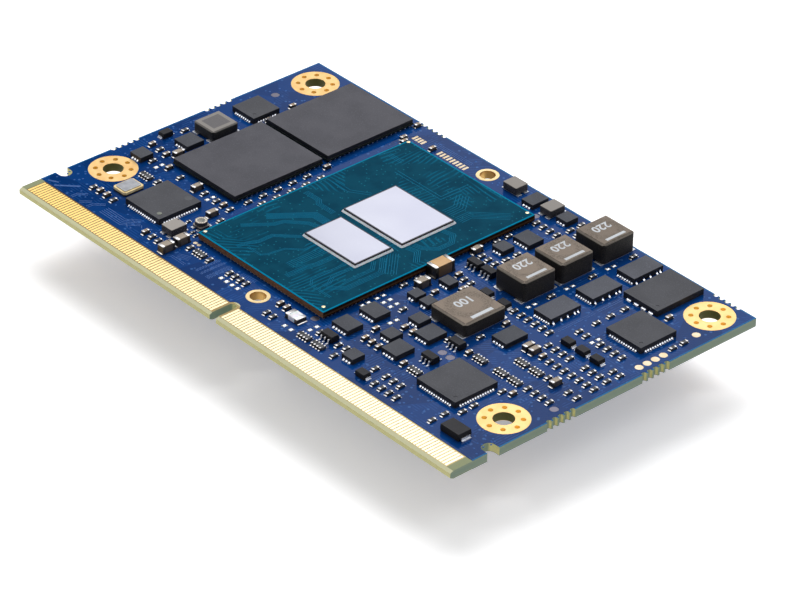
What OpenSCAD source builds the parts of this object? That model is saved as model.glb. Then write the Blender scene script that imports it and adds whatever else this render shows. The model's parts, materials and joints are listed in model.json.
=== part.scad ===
// Edge-connector computer module: a small circuit board with gold contacts along one long edge,
// a bare-die processor, memory packages, power coils and small parts on both faces.
// The frame: X along the contact edge, Y away from it, Z up through the board.
// The origin is under the middle of the board, on the plane that the underside packages rest on.

/* [Board] */
// Length along the contact edge
board_l = 82; // [82:0.5:90]
// Depth from the contact edge to the back edge
board_d = 50; // [50:0.5:80]
// Thickness of the laminate between its two mask films
laminate_t = 1.13; // [0.9:0.01:1.6]
// Thickness of the solder mask film on each face
mask_t = 0.035; // [0.03:0.005:0.05]
// Thickness of gold-plated copper on each face, a little less than the mask around it
copper_t = 0.03; // [0.015:0.005:0.03]
// Distance from the contact edge to the start of the mask
mask_start = 3.45; // [3.4:0.05:4]
// Bare laminate between the mask film and a gold ring or flange
ring_opening = 0.05; // [0.03:0.01:0.1]
// Bare laminate between the mask film and a land or test point
land_opening = 0.03; // [0.02:0.01:0.04]
// Bare laminate around the inner end of the key slot
key_opening = 0.4; // [0.2:0.05:0.6]

/* [Contact edge] */
// Distance between neighbouring contacts
contact_pitch = 0.5; // [0.48:0.01:0.5]
// Width of one contact
contact_w = 0.36; // [0.3:0.01:0.4]
// Distance from the contact edge to the far end of the contacts
contact_end = 3.25; // [2.8:0.05:3.3]
// Centre of the first upper contact from the left edge
contact_first = 1.25; // [1.1:0.05:1.3]
// Upper contacts on the left of the key slot
left_contacts = 74; // [60:1:74]
// Upper contacts on the right of the key slot
right_contacts = 82; // [60:1:82]
// Distance along the edge from the key slot's centre to the contacts beside it
key_margin = 1.15; // [1:0.05:1.2]
// Width of the key slot
key_w = 1.2; // [1:0.05:1.3]
// Depth of the key slot, with its round end
key_depth = 3.65; // [3:0.05:4]
// Length of the slope that leads the contact edge into its socket
bevel_l = 0.5; // [0.3:0.05:0.7]
// Height of that slope on each face
bevel_h = 0.25; // [0.1:0.05:0.4]

/* [Holes and notches] */
// Mounting hole diameter
mount_d = 2.7; // [2.5:0.1:3]
// Diameter of the gold ring around a mounting hole
ring_d = 6.4; // [6:0.1:6.6]
// Distance from the short edges to the mounting holes
mount_inset_x = 4; // [3.8:0.1:4.2]
// Distance from the back edge to the far mounting holes
mount_inset_y = 4; // [3.8:0.1:4.2]
// Distance between the two rows of mounting holes
mount_span_y = 34; // [33.8:0.1:34.2]
// Holes that stitch each gold ring to the layers below
ring_vias = 8; // [4:1:10]
// Diameter of a stitching hole
via_d = 0.7; // [0.2:0.05:0.8]
// Diameter of the circle that the stitching holes lie on
via_circle_d = 4.6; // [4.2:0.1:5]
// Bore of the two plated sleeves
sleeve_bore = 2.1; // [1.8:0.1:2.4]
// Wall of a plated sleeve
sleeve_wall = 0.2; // [0.16:0.01:0.25]
// Diameter of a sleeve's flange
sleeve_flange_d = 3; // [2.7:0.1:3.2]
// Distance from the processor's near edge to the near sleeve
near_sleeve_gap = 2.6; // [2.2:0.1:2.8]
// Distance from the processor's far edge to the far sleeve
far_sleeve_gap = 3.2; // [2.6:0.1:3.3]
// Width of the half-round notch in each short edge
notch_w = 1.9; // [1.5:0.1:2.2]
// Depth of that notch
notch_depth = 1.7; // [1.2:0.1:2]
// Distance from the contact edge to the notches
notch_y = 6.7; // [6.3:0.1:7.2]
// Diameter of the bites left by the break-off tabs
bite_d = 0.7; // [0.5:0.05:0.8]
// Distance between neighbouring bites
bite_pitch = 0.95; // [0.9:0.05:1.2]

/* [Processor] */
// Width of the processor package along X
cpu_w = 24; // [23.6:0.1:24.2]
// Depth of the processor package along Y
cpu_d = 35; // [34.6:0.1:35.1]
// Thickness of the package's carrier board
cpu_t = 0.86; // [0.7:0.02:1.1]
// Size of the larger die
large_die = [11.1, 8.75]; // [5:0.05:12]
// Size of the smaller die
small_die = [9.6, 6]; // [5:0.05:10]
// Thickness of both dies
die_t = 0.42; // [0.3:0.02:0.8]
// How far the underfill spreads past a die
underfill_spread = 0.25; // [0.2:0.05:0.5]
// How far it still stands out from the die at its top
underfill_top = 0.1; // [0.05:0.01:0.15]
// How high the underfill climbs the die's wall
underfill_h = 0.2; // [0.1:0.02:0.3]
// Distance between neighbouring balls under the processor
cpu_ball_pitch = 0.65; // [0.6:0.05:1]

/* [Ball-grid packages] */
// Height of the solder balls under a package
ball_h = 0.22; // [0.15:0.01:0.3]
// Diameter of a solder ball
ball_d = 0.34; // [0.25:0.01:0.4]
// Distance between neighbouring balls under the memory and the storage
ball_pitch = 0.8; // [0.65:0.05:1]
// Width of a memory package
memory_w = 12.5; // [12:0.1:12.6]
// Depth of a memory package
memory_d = 14.7; // [14:0.1:15]
// Clear gap between the two memory packages of one face
memory_gap = 0.8; // [0.5:0.1:1]
// Distance from the memory packages to the processor
memory_to_cpu = 3.65; // [3.5:0.05:3.8]
// Thickness of the carrier under the moulding
carrier_t = 0.26; // [0.2:0.02:0.4]
// Thickness of the moulding
mould_t = 0.57; // [0.4:0.02:0.8]
// How far the moulding stands back from the carrier's edge
mould_step = 0.06; // [0:0.02:0.1]
// Size of the storage package on the underside
storage_size = [11.5, 13]; // [9:0.5:13]

/* [Leadless packages] */
// Side of the two large square controllers
controller_w = 6.8; // [6.6:0.1:7]
// Side of the controller beside the flash memory
codec_w = 6; // [5.6:0.1:6]
// Side of the controller in the left column
bridge_w = 4.4; // [4:0.1:4.5]
// Height of the large leadless packages
package_h = 0.85; // [0.7:0.01:1]
// Distance between the contacts of the large leadless packages
fine_pitch = 0.4; // [0.35:0.01:0.42]
// Distance between the contacts of the small leadless packages
small_pitch = 0.5; // [0.45:0.01:0.55]
// Distance between the contacts of the boot flash memory
flash_pitch = 1.27; // [1:0.01:1.3]
// Width of a contact, as a share of the distance between two
contact_share = 0.56; // [0.4:0.02:0.7]
// Distance from a large package's corner to its first contact
contact_margin = 0.7; // [0.5:0.05:0.8]
// Distance from the boot flash memory's corner to its first contact
flash_margin = 0.95; // [0.6:0.05:1]
// Distance from a small package's corner to its first contact
small_margin = 0.45; // [0.35:0.05:0.6]
// Diameter of the dimple that marks a package's first contact
dimple_d = 0.5; // [0.3:0.05:0.7]
// Depth of that dimple
dimple_depth = 0.05; // [0.02:0.01:0.1]
// Distance of the dimple's centre from the two walls beside it
dimple_inset = 0.8; // [0.5:0.05:1]
// Size of a power stage
stage_size = [3.1, 5]; // [2.8:0.1:5.2]
// Distance from a power stage's corner to the first contact on its short walls
stage_margin = 0.3; // [0.25:0.05:0.6]
// Places of the contacts along its long walls, from the middle
stage_flanks = [-2.15, -0.86, 0.24, 1.38, 1.95]; // [-2.3:0.01:2.3]
// Height of the solder on those contacts
stage_flank_h = 0.42; // [0.2:0.02:0.6]
// Distance between the power stages
stage_pitch = 7; // [6.5:0.1:7.2]
// Size of the boot flash memory
flash_size = [5.9, 8]; // [5.5:0.1:8.2]
// Height of the small leadless packages
small_ic_h = 0.72; // [0.6:0.02:0.9]
// Length of the solder toe in front of a leadless contact
toe_l = 0.28; // [0.15:0.01:0.35]
// Height of that toe at the package wall
toe_h = 0.26; // [0.15:0.01:0.35]

/* [Leaded packages] */
// Size of a six-lead package body
sot_size = [2, 1.25, 0.95]; // [0.9:0.05:2.2]
// Distance between the leads
sot_pitch = 0.65; // [0.6:0.01:0.7]
// Width of a lead
sot_lead_w = 0.24; // [0.18:0.01:0.3]
// Thickness of a lead
sot_lead_t = 0.13; // [0.1:0.01:0.18]
// Reach of a lead from the body to its tip
sot_reach = 0.6; // [0.45:0.05:0.7]

/* [Coils] */
// Size of a power coil
coil_size = [5.3, 5.4, 3]; // [2.6:0.1:5.6]
// Size of the wide flat coil
flat_coil_size = [6.4, 6.8, 2]; // [1.6:0.1:7]
// Size of the coil in the left column
side_coil_size = [4.1, 4.3, 1.6]; // [1.5:0.1:4.5]
// Size of a small moulded coil
small_coil_size = [2.1, 2.5, 1.15]; // [1:0.05:2.7]
// Clear gap between the far and the middle power coil
far_coil_gap = 1.6; // [1:0.1:1.8]
// Clear gap between the middle and the near power coil
near_coil_gap = 1; // [0.8:0.1:1.2]
// Side and height of the coil with an eight-sided cap
drum_coil_size = [1.7, 1]; // [0.8:0.05:1.8]
// Corner radius of the power coils
coil_corner_r = 0.5; // [0.2:0.05:0.8]
// Bevel around the top of the power coils
coil_bevel = 0.3; // [0.1:0.05:0.5]
// Corner radius of the side coil
side_coil_corner_r = 0.4; // [0.2:0.05:0.6]
// Bevel around the top of the side coil
side_coil_bevel = 0.2; // [0.1:0.05:0.3]
// Corner radius of the small coils
small_coil_corner_r = 0.15; // [0.1:0.05:0.3]
// Bevel around the top of the small coils
small_coil_bevel = 0.06; // [0.04:0.02:0.12]
// Width of a power coil's terminal
coil_terminal_w = 1.3; // [0.8:0.1:1.6]
// Width of the flat coil's terminal
flat_terminal_w = 1.4; // [0.8:0.1:1.8]
// Width of the side coil's terminal
side_terminal_w = 1; // [0.6:0.1:1.2]
// Width of a small coil's terminal
small_terminal_w = 0.7; // [0.4:0.05:0.8]
// Width of that coil's terminal
drum_terminal_w = 0.5; // [0.3:0.05:0.6]
// Distance of the terminals from the coil's ends
terminal_inset = 0.1; // [0:0.02:0.2]
// Thickness of the terminals under a coil
terminal_t = 0.14; // [0.1:0.01:0.2]
// How far the terminals stand out from under a coil
terminal_out = 0.3; // [0.1:0.05:0.4]

/* [Chip parts] */
// Size of a small capacitor
capacitor_size = [1, 0.52, 0.5]; // [0.45:0.01:1.05]
// Size of a small resistor
resistor_size = [1, 0.5, 0.34]; // [0.3:0.01:1.05]
// Size of a medium capacitor
medium_size = [1.6, 0.8, 0.8]; // [0.7:0.05:1.7]
// Size of a large capacitor
large_size = [2, 1.1, 1.1]; // [1:0.05:2.1]
// Size of the bulk capacitor beside the processor
bulk_size = [3.2, 1.8, 1.6]; // [1.4:0.05:3.3]
// Size of the smallest resistor
tiny_size = [0.6, 0.3, 0.24]; // [0.22:0.01:0.65]
// Length of a metal end, as a share of the part's length
end_share = 0.24; // [0.15:0.01:0.3]
// The same share on medium and large capacitors
wide_end_share = 0.2; // [0.12:0.01:0.3]
// The same share on the bulk capacitor
bulk_end_share = 0.15; // [0.1:0.01:0.3]
// Reach of the solder fillet in front of a metal end
fillet_l = 0.16; // [0.05:0.01:0.2]
// Height at which a fillet or a toe starts at its outer end
solder_edge_h = 0.04; // [0.02:0.01:0.08]
// Height to which a fillet climbs a metal end, as a share of the part's height
fillet_climb = 0.6; // [0.3:0.05:0.8]
// Size of a four-way resistor array
array_size = [2, 1, 0.4]; // [0.35:0.05:2.1]
// Metal ends on each side of an array
array_ways = 4; // [2:1:4]
// Size of a moulded diode
diode_size = [1.7, 1.1, 0.75]; // [0.6:0.05:1.8]
// Size of the large moulded diode
large_diode_size = [3.3, 2, 1]; // [0.8:0.1:3.5]
// Length of a diode's foot past its body
diode_foot = 0.3; // [0.2:0.05:0.4]
// Thickness of a diode's terminal strap
diode_strap_t = 0.12; // [0.08:0.01:0.16]
// Size of the quartz crystal
crystal_size = [2.5, 3.2, 0.7]; // [0.5:0.05:3.3]
// Width of the ceramic rim around the crystal's lid
crystal_rim = 0.25; // [0.15:0.05:0.4]
// Thickness of the crystal's lid
crystal_lid_t = 0.15; // [0.1:0.01:0.25]
// Size of the indicator lamp
lamp_size = [2.3, 1.5, 0.7]; // [0.5:0.05:2.4]
// Diameter of a round test point
test_point_d = 1.05; // [0.8:0.05:1.1]
// Diameter of a small test point
small_point_d = 0.55; // [0.4:0.05:0.6]
// Size of a bare gold land
gold_land_size = [0.36, 1]; // [0.3:0.02:1.1]
// Size of a bare tinned land
land_size = [0.52, 0.6]; // [0.4:0.02:0.65]

/* [Hidden] */

curve_fn = 48;
tiny_fn = 16;
cut = 1;
slice_t = 0.01;

// Heights: the underside packages stand on z = 0 and carry everything above them
package_stack_h = ball_h + carrier_t + mould_t;
under_z = package_stack_h;
laminate_z = under_z + mask_t;
laminate_top_z = laminate_z + laminate_t;
top_z = laminate_top_z + mask_t;

// Centres on the board, from the left end of the contact edge
tinned_t = mask_t + 0.03;
key_x = contact_first + (left_contacts - 1) * contact_pitch + key_margin;
mount_ys = [board_d - mount_inset_y - mount_span_y, board_d - mount_inset_y];
mounts = [for (x = [mount_inset_x, board_l - mount_inset_x], y = mount_ys) [x, y]];
notch_cut = [notch_depth - notch_w / 2, notch_w];
left_tabs = [17, 32.5];
right_tabs = [17.5, 33];
back_tabs = [23.4, 77.1];
bites = 5;
bite_in = 0.1;
drum_sides = 8;
drum_foot_share = 0.42;
drum_cut_share = 1.22;
drum_neck_share = 0.74;
drum_cap_start = 0.56;
drum_cap_share = 0.92;
castellation_r = 0.2;
lid_corner_r = 0.2;
array_end_l = array_size.y * end_share;
foot_share = 0.7;
chip_lift = 0.03;
end_wrap = 0.01;
array_end_share = 0.6;
diode_draft = 0.1;
diode_shoulder = 0.4;
sot_draft = 0.08;
sot_base = 0.08;
knee_share = 0.3;
heel_share = 0.55;
bend_share = 0.6;

cpu_at = [36.4, 27, 0];
cpu_left = cpu_at.x - cpu_w / 2;
cpu_right = cpu_at.x + cpu_w / 2;
cpu_near = cpu_at.y - cpu_d / 2;
cpu_far = cpu_at.y + cpu_d / 2;
sleeves = [[cpu_at.x + 2.8, cpu_near - near_sleeve_gap], [cpu_at.x - 0.3, cpu_far + far_sleeve_gap]];
large_die_at = [1.4, 4];
small_die_at = [1.9, -4.85];
// A die's place on the processor, as [centre, size]
dies = [[large_die_at, large_die], [small_die_at, small_die]];
memory_near = 18.4;
memory_x = cpu_left - memory_to_cpu - memory_w / 2;
memory_left = memory_x - memory_w / 2;
storage_at = [64, 17, 0];

// The placements below are written for a processor with its edges here
drawn_left = 24.4;
drawn_right = 48.4;
drawn_near = 9.5;
drawn_far = 44.5;
// and for memory packages with their left edge here, down to this distance from the contact edge
drawn_memory_left = 8.25;
drawn_memory_near = 18;

// In the rows before and behind the processor, parts left of these places keep to its left edge
drawn_near_row = 31;
drawn_far_row = 34;
// and parts right of this one keep to its right edge
drawn_row_right = 40;

// A part keeps its distance to the processor's edge beside it, and in the left column to the memory
function beside_x(x, y) =
    x >= drawn_right ? 1 :
    x <= drawn_left ? -1 :
    y > drawn_near && y < drawn_far ? 0 :
    x > drawn_row_right ? 1 :
    x < (y <= drawn_near ? drawn_near_row : drawn_far_row) ? -1 : 0;
function shift_x(x, y) =
    beside_x(x, y) > 0 ? cpu_right - drawn_right :
    beside_x(x, y) == 0 ? 0 :
    x > drawn_memory_left || y < drawn_memory_near ? cpu_left - drawn_left :
    memory_left - drawn_memory_left;
function shift_y(x, y) =
    x <= drawn_left || x >= drawn_right ? 0 :
    y <= drawn_near ? cpu_near - drawn_near :
    y >= drawn_far ? cpu_far - drawn_far : 0;
function seat(p) = [p.x + shift_x(p.x, p.y), p.y + shift_y(p.x, p.y), p.z];

// Placements are [x, y, turn]; a run repeats one placement along a line
function run(x, y, dx, dy, n, turn = 90) = [for (i = [0:n - 1]) [x + i * dx, y + i * dy, turn]];
function grid(x, y, dx, dy, nx, ny, turn = 90) =
    [for (i = [0:nx - 1], j = [0:ny - 1]) [x + i * dx, y + j * dy, turn]];

memory_places = [
    [memory_x, memory_near + memory_d / 2, 0],
    [memory_x, memory_near + memory_d * 1.5 + memory_gap, 0]
];
controller_left_at = [15.2, 11.3, 0];
controller_right_at = [69.4, 12.4, 0];
codec_at = [75.6, 36.7, 0];
bridge_at = [4.8, 35.1, 0];
flash_at = [71.1, 44.9, 0];
stage_places = run(65.5, 32.3, 0, stage_pitch, 3, 0);
// Small packages are [size, place]
small_packages_top = [
    [[3, 2.5], [51.5, 15.1, 0]], [[3, 2.5], [51.5, 10.7, 0]], [[3, 2.5], [51.4, 40.6, 0]],
    [[2, 2], [56.3, 18.1, 0]], [[2, 2], [56.6, 13.3, 0]], [[2, 2], [57.1, 6.8, 0]],
    [[2, 2], [50.8, 36.9, 0]], [[2, 2], [50.9, 47.7, 0]], [[2.1, 2.8], [45.1, 47.6, 0]],
    [[2.7, 3], [59.5, 17, 0]], [[2.7, 3], [59.5, 11.8, 0]], [[2.6, 3.6], [66.1, 23.9, 0]],
    [[2, 1.6], [52.3, 26.4, 0]], [[1.7, 1.7], [51.9, 21.5, 0]], [[1.7, 1.7], [54.1, 21.5, 0]],
    [[2.7, 2.8], [5.5, 23.3, 0]], [[2.2, 2.1], [4.1, 16.6, 0]]
];
small_packages_under = [
    [[3, 3], [52, 42, 0]], [[3, 3], [60, 42, 0]], [[4, 4], [70, 38, 0]], [[2, 2], [28, 9, 0]]
];
sot_places = [
    [51.4, 31.7, 0], [53.9, 31.7, 0], [52.1, 7.4, 0], [63.2, 18, 0], [63.4, 13.5, 0]
];
coil_at = [58.8, 46.6, 0];
middle_coil_step = coil_size.y + far_coil_gap;
near_coil_step = middle_coil_step + coil_size.y + near_coil_gap;
coil_places = [for (step = [0, middle_coil_step, near_coil_step]) [coil_at.x, coil_at.y - step, 0]];
flat_coil_at = [59.4, 23.2, 0];
side_coil_at = [5.3, 27.95, 0];
small_coil_places = [[21, 8.4, 0], [41.1, 47.9, 90], [48.2, 47.7, 0]];
drum_coil_at = [22.3, 11.7, 0];
crystal_at = [9.3, 10.35, 0];
lamp_at = [46.1, 7.1, 0];

capacitors_top = concat(
    run(7.5, 7.2, 1.35, 0, 2), run(19, 5.4, 0, 0, 1), run(20.3, 16.9, 0, 0, 1),
    [[21.6, 33, 90], [21.2, 48.9, 90], [6.9, 39.6, 90], [22.4, 45.4, 90], [23.2, 44.8, 90]],
    [[7.7, 34.9, 90], [8.7, 17.4, 90]],
    run(42.5, 7.7, 1.2, 0, 2), run(56.2, 15.8, 1.3, 0, 1), run(54.9, 10.6, 1.25, 0, 3),
    [[57.6, 15.9, 90], [54.2, 12.9, 90], [51.6, 28.7, 90], [54.4, 26.8, 90], [62, 10.5, 90]],
    [[63.5, 25.7, 90], [71.6, 24.2, 90], [75.1, 16.1, 90], [65.3, 18, 90], [75.3, 41.7, 90]],
    [[2.7, 19.4, 90], [5.9, 19.2, 90], [26.9, 46.4, 90], [52.7, 23.8, 90]]
);
resistors_top = concat(
    [[6.2, 7.1, 90], [10.3, 7.1, 90], [16.5, 16.9, 90], [18.9, 16.9, 90], [21.6, 16.9, 90]],
    run(20.3, 5.4, 1.25, 0, 2), run(21.7, 19.8, 0, 2.45, 5), run(23.1, 20.9, 0, 2.45, 5),
    [[25.4, 7.4, 90], [29.2, 7.4, 90], [22.9, 14.3, 90], [10.5, 14.1, 90], [4.3, 19.4, 90]],
    [[5.9, 16.9, 90], [2.6, 24.9, 90]], run(33.1, 7.4, 1.05, 0, 4), run(42.9, 5.2, 1.15, 0, 2),
    [[50.4, 7.3, 90], [53.9, 7.2, 90], [55.1, 7.4, 90], [55.3, 5.3, 90], [53, 18.3, 90]],
    run(48.9, 44.3, 1.25, 0, 4), [[52.9, 48.3, 90], [52.9, 46.4, 90], [54.3, 46.3, 90]],
    run(48.95, 37.5, 0, 2, 2), run(52.8, 35.5, 0, 1.9, 2), run(50.2, 33.8, 1.2, 0, 3),
    run(52.8, 28.5, 1.2, 0, 2), run(48.95, 22, 0, 2.4, 2), run(60.6, 7.2, 0, 0, 1),
    run(62.7, 7.1, 1.3, 0, 3), run(62.9, 5.1, 1.3, 0, 4), run(73, 5.2, 0, 2, 2),
    [[61.5, 18.1, 90], [73.9, 15.5, 90], [73.9, 11, 90], [74, 9.1, 90]],
    run(75.4, 18.2, 1.25, 0, 4), run(72.9, 24.1, 1.28, 0, 7), run(70.2, 26.4, 1.25, 0, 4),
    run(76.6, 26.4, 1.25, 0, 4), run(62, 28.4, 1.25, 0, 6), run(79.3, 28.4, 1.2, 0, 2),
    run(70.4, 31.3, 1.25, 0, 2), run(74.1, 31.3, 1.25, 0, 4), run(70.4, 34.2, 0, 2.4, 3),
    run(62.5, 34.1, 0, 7, 3), [[63.6, 21.4, 90], [75.3, 21.6, 90], [79.1, 21.3, 90], [80.6, 21.3, 90]],
    [[80.3, 39.3, 90], [80.3, 37.4, 90], [11.5, 17, 90]]
);
capacitors_under = concat(
    grid(31, 20.5, 2, 2.1, 8, 8), run(27.5, 40.5, 2.2, 0, 9), run(50.6, 20, 0, 2.4, 7),
    run(24.5, 16, 0, 2.5, 6)
);
resistors_under = concat(
    run(8, 7.2, 1.5, 0, 8), run(43, 7.2, 1.5, 0, 10), run(57, 27, 0, 2, 4), run(73.6, 18, 0, 2, 6)
);
medium_top = [
    [15, 16.9, 90], [21.1, 14.4, 90], [6.9, 20.4, 90], [48.97, 34.1, 90],
    [69.1, 24.2, 90], [70.2, 24.2, 90], [76.8, 21.4, 90]
];
medium_under = concat(run(26, 12.5, 2.6, 0, 8), run(50, 36.5, 2.4, 0, 6));
large_top = [[23.7, 7.4, 90], [23.8, 4.9, 90], [50.5, 23.7, 90]];
bulk_top = [[49.5, 27.6, 90]];
arrays_top = [
    [27.3, 7.4, 0], [8.4, 13.9, 0], [49.9, 5.3, 0], [52.4, 5.3, 0], [64, 10.5, 0],
    [67.2, 18.1, 0], [70.9, 18.1, 0], [73.3, 18.1, 0], [71, 21.4, 0], [73.5, 21.4, 0]
];
diodes_top = [
    [71.5, 28.5, 0], [74, 28.5, 0], [76.5, 28.5, 0], [60.7, 5.2, 0], [57.2, 28.3, 0],
    [60.3, 28.3, 0], [1.9, 22.3, 90]
];
large_diode_at = [76.6, 5.7, 0];
tiny_resistors_top = [[20.4, 11.15, 90], [22.75, 9.95, 90], [23.55, 9.8, 90]];
lands_top = concat(
    grid(48.9, 17.7, 1.25, 1.05, 3, 2, 0), grid(17.7, 16.4, 0, 1, 1, 2, 0),
    grid(7.3, 16.4, 0, 1, 1, 2, 0), grid(54.1, 15.3, 0, 1.05, 1, 2, 0),
    grid(48.9, 15.3, 0, 1, 1, 2, 0), grid(62.3, 30.5, 0, 1.05, 1, 2, 0),
    grid(62.3, 36.9, 0, 1.05, 1, 2, 0), grid(62.3, 43.9, 0, 1.05, 1, 2, 0),
    grid(73, 31, 0, 1.1, 1, 2, 0), grid(49, 6.9, 0, 1.1, 1, 2, 0), grid(46.3, 5.2, 1.2, 0, 2, 1, 0),
    grid(33.1, 6.1, 1.05, 0, 4, 1, 0)
);
test_points_top = concat(
    run(80.5, 31.6, 0, 1.35, 4, 0),
    [[63, 15.8, 0], [64.4, 15.8, 0], [47.5, 9, 0], [47.4, 45.5, 0]]
);
// Test points beside mounting holes, as [hole, offset]
test_points_by_holes = [[mounts[3], [1.9, -4.2]], [mounts[2], [2.4, 5.8]], [mounts[1], [-1.1, -6]]];
test_point_centres = concat(
    [for (p = test_points_top) seat(p)], [for (p = test_points_by_holes) p[0] + p[1]]
);
small_points_top = [[24.74, 8.76, 0], [25.41, 8.79, 0]];
// Every round test point as [centre, diameter]
round_points = concat(
    [for (p = test_point_centres) [p, test_point_d]], [for (p = small_points_top) [seat(p), small_point_d]]
);

gold_lands_top = concat(run(23.1, 46.8, 0.55, 0, 4, 0), run(28.1, 46.6, 0.62, 0, 9, 0));

// The board seen from above, with its key slot, notches and tab bites
module board_outline() {
    difference() {
        translate([-board_l / 2, -board_d / 2]) square([board_l, board_d]);
        translate([key_x - board_l / 2, -board_d / 2]) key_shape();
        for (side = [-1, 1])
            translate([side * board_l / 2, notch_y - board_d / 2]) notch_shape();
        for (y = left_tabs) translate([-board_l / 2 + bite_in, y - board_d / 2]) rotate(90) bite_row();
        for (y = right_tabs) translate([board_l / 2 - bite_in, y - board_d / 2]) rotate(90) bite_row();
        for (x = back_tabs) translate([x - board_l / 2, board_d / 2 - bite_in]) bite_row();
        for (m = mounts)
            translate([m.x - board_l / 2, m.y - board_d / 2]) circle(d = mount_d, $fn = curve_fn);
        for (s = sleeves)
            translate([s.x - board_l / 2, s.y - board_d / 2])
                circle(d = sleeve_bore + 2 * sleeve_wall, $fn = curve_fn);
    }
}

// The key slot, open at the contact edge and round at its inner end
module key_shape() {
    translate([-key_w / 2, -cut]) square([key_w, key_depth - key_w / 2 + cut]);
    translate([0, key_depth - key_w / 2]) circle(d = key_w, $fn = curve_fn);
}

// A half-round notch, drawn on both sides of the edge
module notch_shape() {
    square([2 * notch_cut.x, notch_cut.y], center = true);
    for (side = [-1, 1]) translate([side * notch_cut.x, 0]) circle(d = notch_w, $fn = curve_fn);
}

// The row of round bites where a break-off tab was
module bite_row() {
    for (i = [0:bites - 1])
        translate([(i - (bites - 1) / 2) * bite_pitch, 0]) circle(d = bite_d, $fn = tiny_fn * 2);
}

// The laminate, bevelled on both faces along the contact edge
module board_laminate() {
    color("#8f9a78") difference() {
        translate([0, 0, laminate_z]) linear_extrude(laminate_t) board_outline();
        for (face = [0, 1])
            translate([-board_l / 2 - cut, -board_d / 2, laminate_z + face * laminate_t])
                mirror([0, 0, face]) rotate([90, 0, 90]) linear_extrude(board_l + 2 * cut)
                    polygon([[-cut, -cut], [bevel_l, -cut], [bevel_l, 0], [0, bevel_h], [-cut, bevel_h]]);
    }
}

// The area that the mask leaves bare on both faces
module common_bare_area() {
    translate([-board_l / 2 - cut, -board_d / 2 - cut]) square([board_l + 2 * cut, mask_start + cut]);
    translate([key_x - board_l / 2, key_depth - key_w / 2 - board_d / 2])
        circle(d = key_w + 2 * key_opening, $fn = curve_fn);
    for (m = mounts)
        translate([m.x - board_l / 2, m.y - board_d / 2])
            circle(d = ring_d + 2 * ring_opening, $fn = curve_fn);
    for (s = sleeves)
        translate([s.x - board_l / 2, s.y - board_d / 2])
            circle(d = sleeve_flange_d + 2 * ring_opening, $fn = curve_fn);
}

// The mask film of the upper face, open over test points and bare lands
module mask_film_top() {
    color("#0b3f7d") translate([0, 0, laminate_top_z]) linear_extrude(mask_t) difference() {
        board_outline();
        common_bare_area();
        for (p = round_points)
            translate([p[0].x - board_l / 2, p[0].y - board_d / 2])
                circle(d = p[1] + 2 * land_opening, $fn = tiny_fn * 2);
        land_openings(lands_top, land_size);
        land_openings(gold_lands_top, gold_land_size);
    }
}

// Square openings around lands of one size
module land_openings(places, size) {
    for (p = places) {
        q = seat(p);
        translate([q.x - board_l / 2, q.y - board_d / 2])
            square([size.x + 2 * land_opening, size.y + 2 * land_opening], center = true);
    }
}

// The mask film of the underside
module mask_film_under() {
    color("#0b3f7d") translate([0, 0, under_z]) linear_extrude(mask_t) difference() {
        board_outline();
        common_bare_area();
    }
}

// One row of contacts, from its first centre
module contact_row(first_x, count) {
    for (i = [0:count - 1])
        translate([first_x + i * contact_pitch - contact_w / 2 - board_l / 2, bevel_l - board_d / 2, 0])
            cube([contact_w, contact_end - bevel_l, copper_t]);
}

module contacts_top() {
    color("#f0d28a") translate([0, 0, laminate_top_z]) {
        contact_row(contact_first, left_contacts);
        contact_row(key_x + key_margin, right_contacts);
    }
}

// The underside has one contact more on each side of the slot, half a pitch outwards
module contacts_under() {
    color("#f0d28a") translate([0, 0, laminate_z - copper_t]) {
        contact_row(contact_first - contact_pitch / 2, left_contacts + 1);
        contact_row(key_x + key_margin - contact_pitch / 2, right_contacts + 1);
    }
}

// Gold rings around the mounting holes on both faces, with their stitching holes
module mounting_rings() {
    color("#f3d68c") for (m = mounts, z = [laminate_top_z, laminate_z - copper_t])
        translate([m.x - board_l / 2, m.y - board_d / 2, z]) linear_extrude(copper_t) difference() {
            circle(d = ring_d, $fn = curve_fn);
            circle(d = mount_d, $fn = curve_fn);
            for (i = [0:ring_vias - 1])
                rotate(i * 360 / ring_vias) translate([via_circle_d / 2, 0]) circle(d = via_d, $fn = tiny_fn);
        }
}

// Plated sleeves with a flange on each face
module plated_sleeves() {
    outer_r = sleeve_bore / 2 + sleeve_wall;
    color("#e8c47a") for (s = sleeves)
        translate([s.x - board_l / 2, s.y - board_d / 2, 0]) rotate_extrude($fn = curve_fn) polygon([
            [sleeve_bore / 2, laminate_z - copper_t], [sleeve_flange_d / 2, laminate_z - copper_t],
            [sleeve_flange_d / 2, laminate_z], [outer_r, laminate_z],
            [outer_r, laminate_top_z], [sleeve_flange_d / 2, laminate_top_z],
            [sleeve_flange_d / 2, laminate_top_z + copper_t], [sleeve_bore / 2, laminate_top_z + copper_t]
        ]);
}

// Stands its children at given centres on the upper face
module at_top(centres, z = top_z) {
    for (p = centres) translate([p.x - board_l / 2, p.y - board_d / 2, z]) rotate(p.z) children();
}

// Stands its children at each placement on the upper face, beside the processor
module on_top(places, z = top_z) {
    at_top([for (p = places) seat(p)], z) children();
}

// Hangs its children at each placement on the underside
module on_underside(places) {
    for (p = places)
        translate([p.x - board_l / 2, p.y - board_d / 2, under_z]) mirror([0, 0, 1]) rotate(p.z) children();
}

// A box centred in plan that stands on its base
module block(size, z = 0) {
    translate([-size.x / 2, -size.y / 2, z]) cube(size);
}

// Round test points, and two rows of narrow lands along the back edge
module test_points() {
    color("#f3d68c") {
        for (p = round_points)
            translate([p[0].x - board_l / 2, p[0].y - board_d / 2, laminate_top_z])
                cylinder(d = p[1], h = copper_t, $fn = tiny_fn * 2);
        on_top(gold_lands_top, laminate_top_z) block([gold_land_size.x, gold_land_size.y, copper_t]);
    }
}

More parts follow.
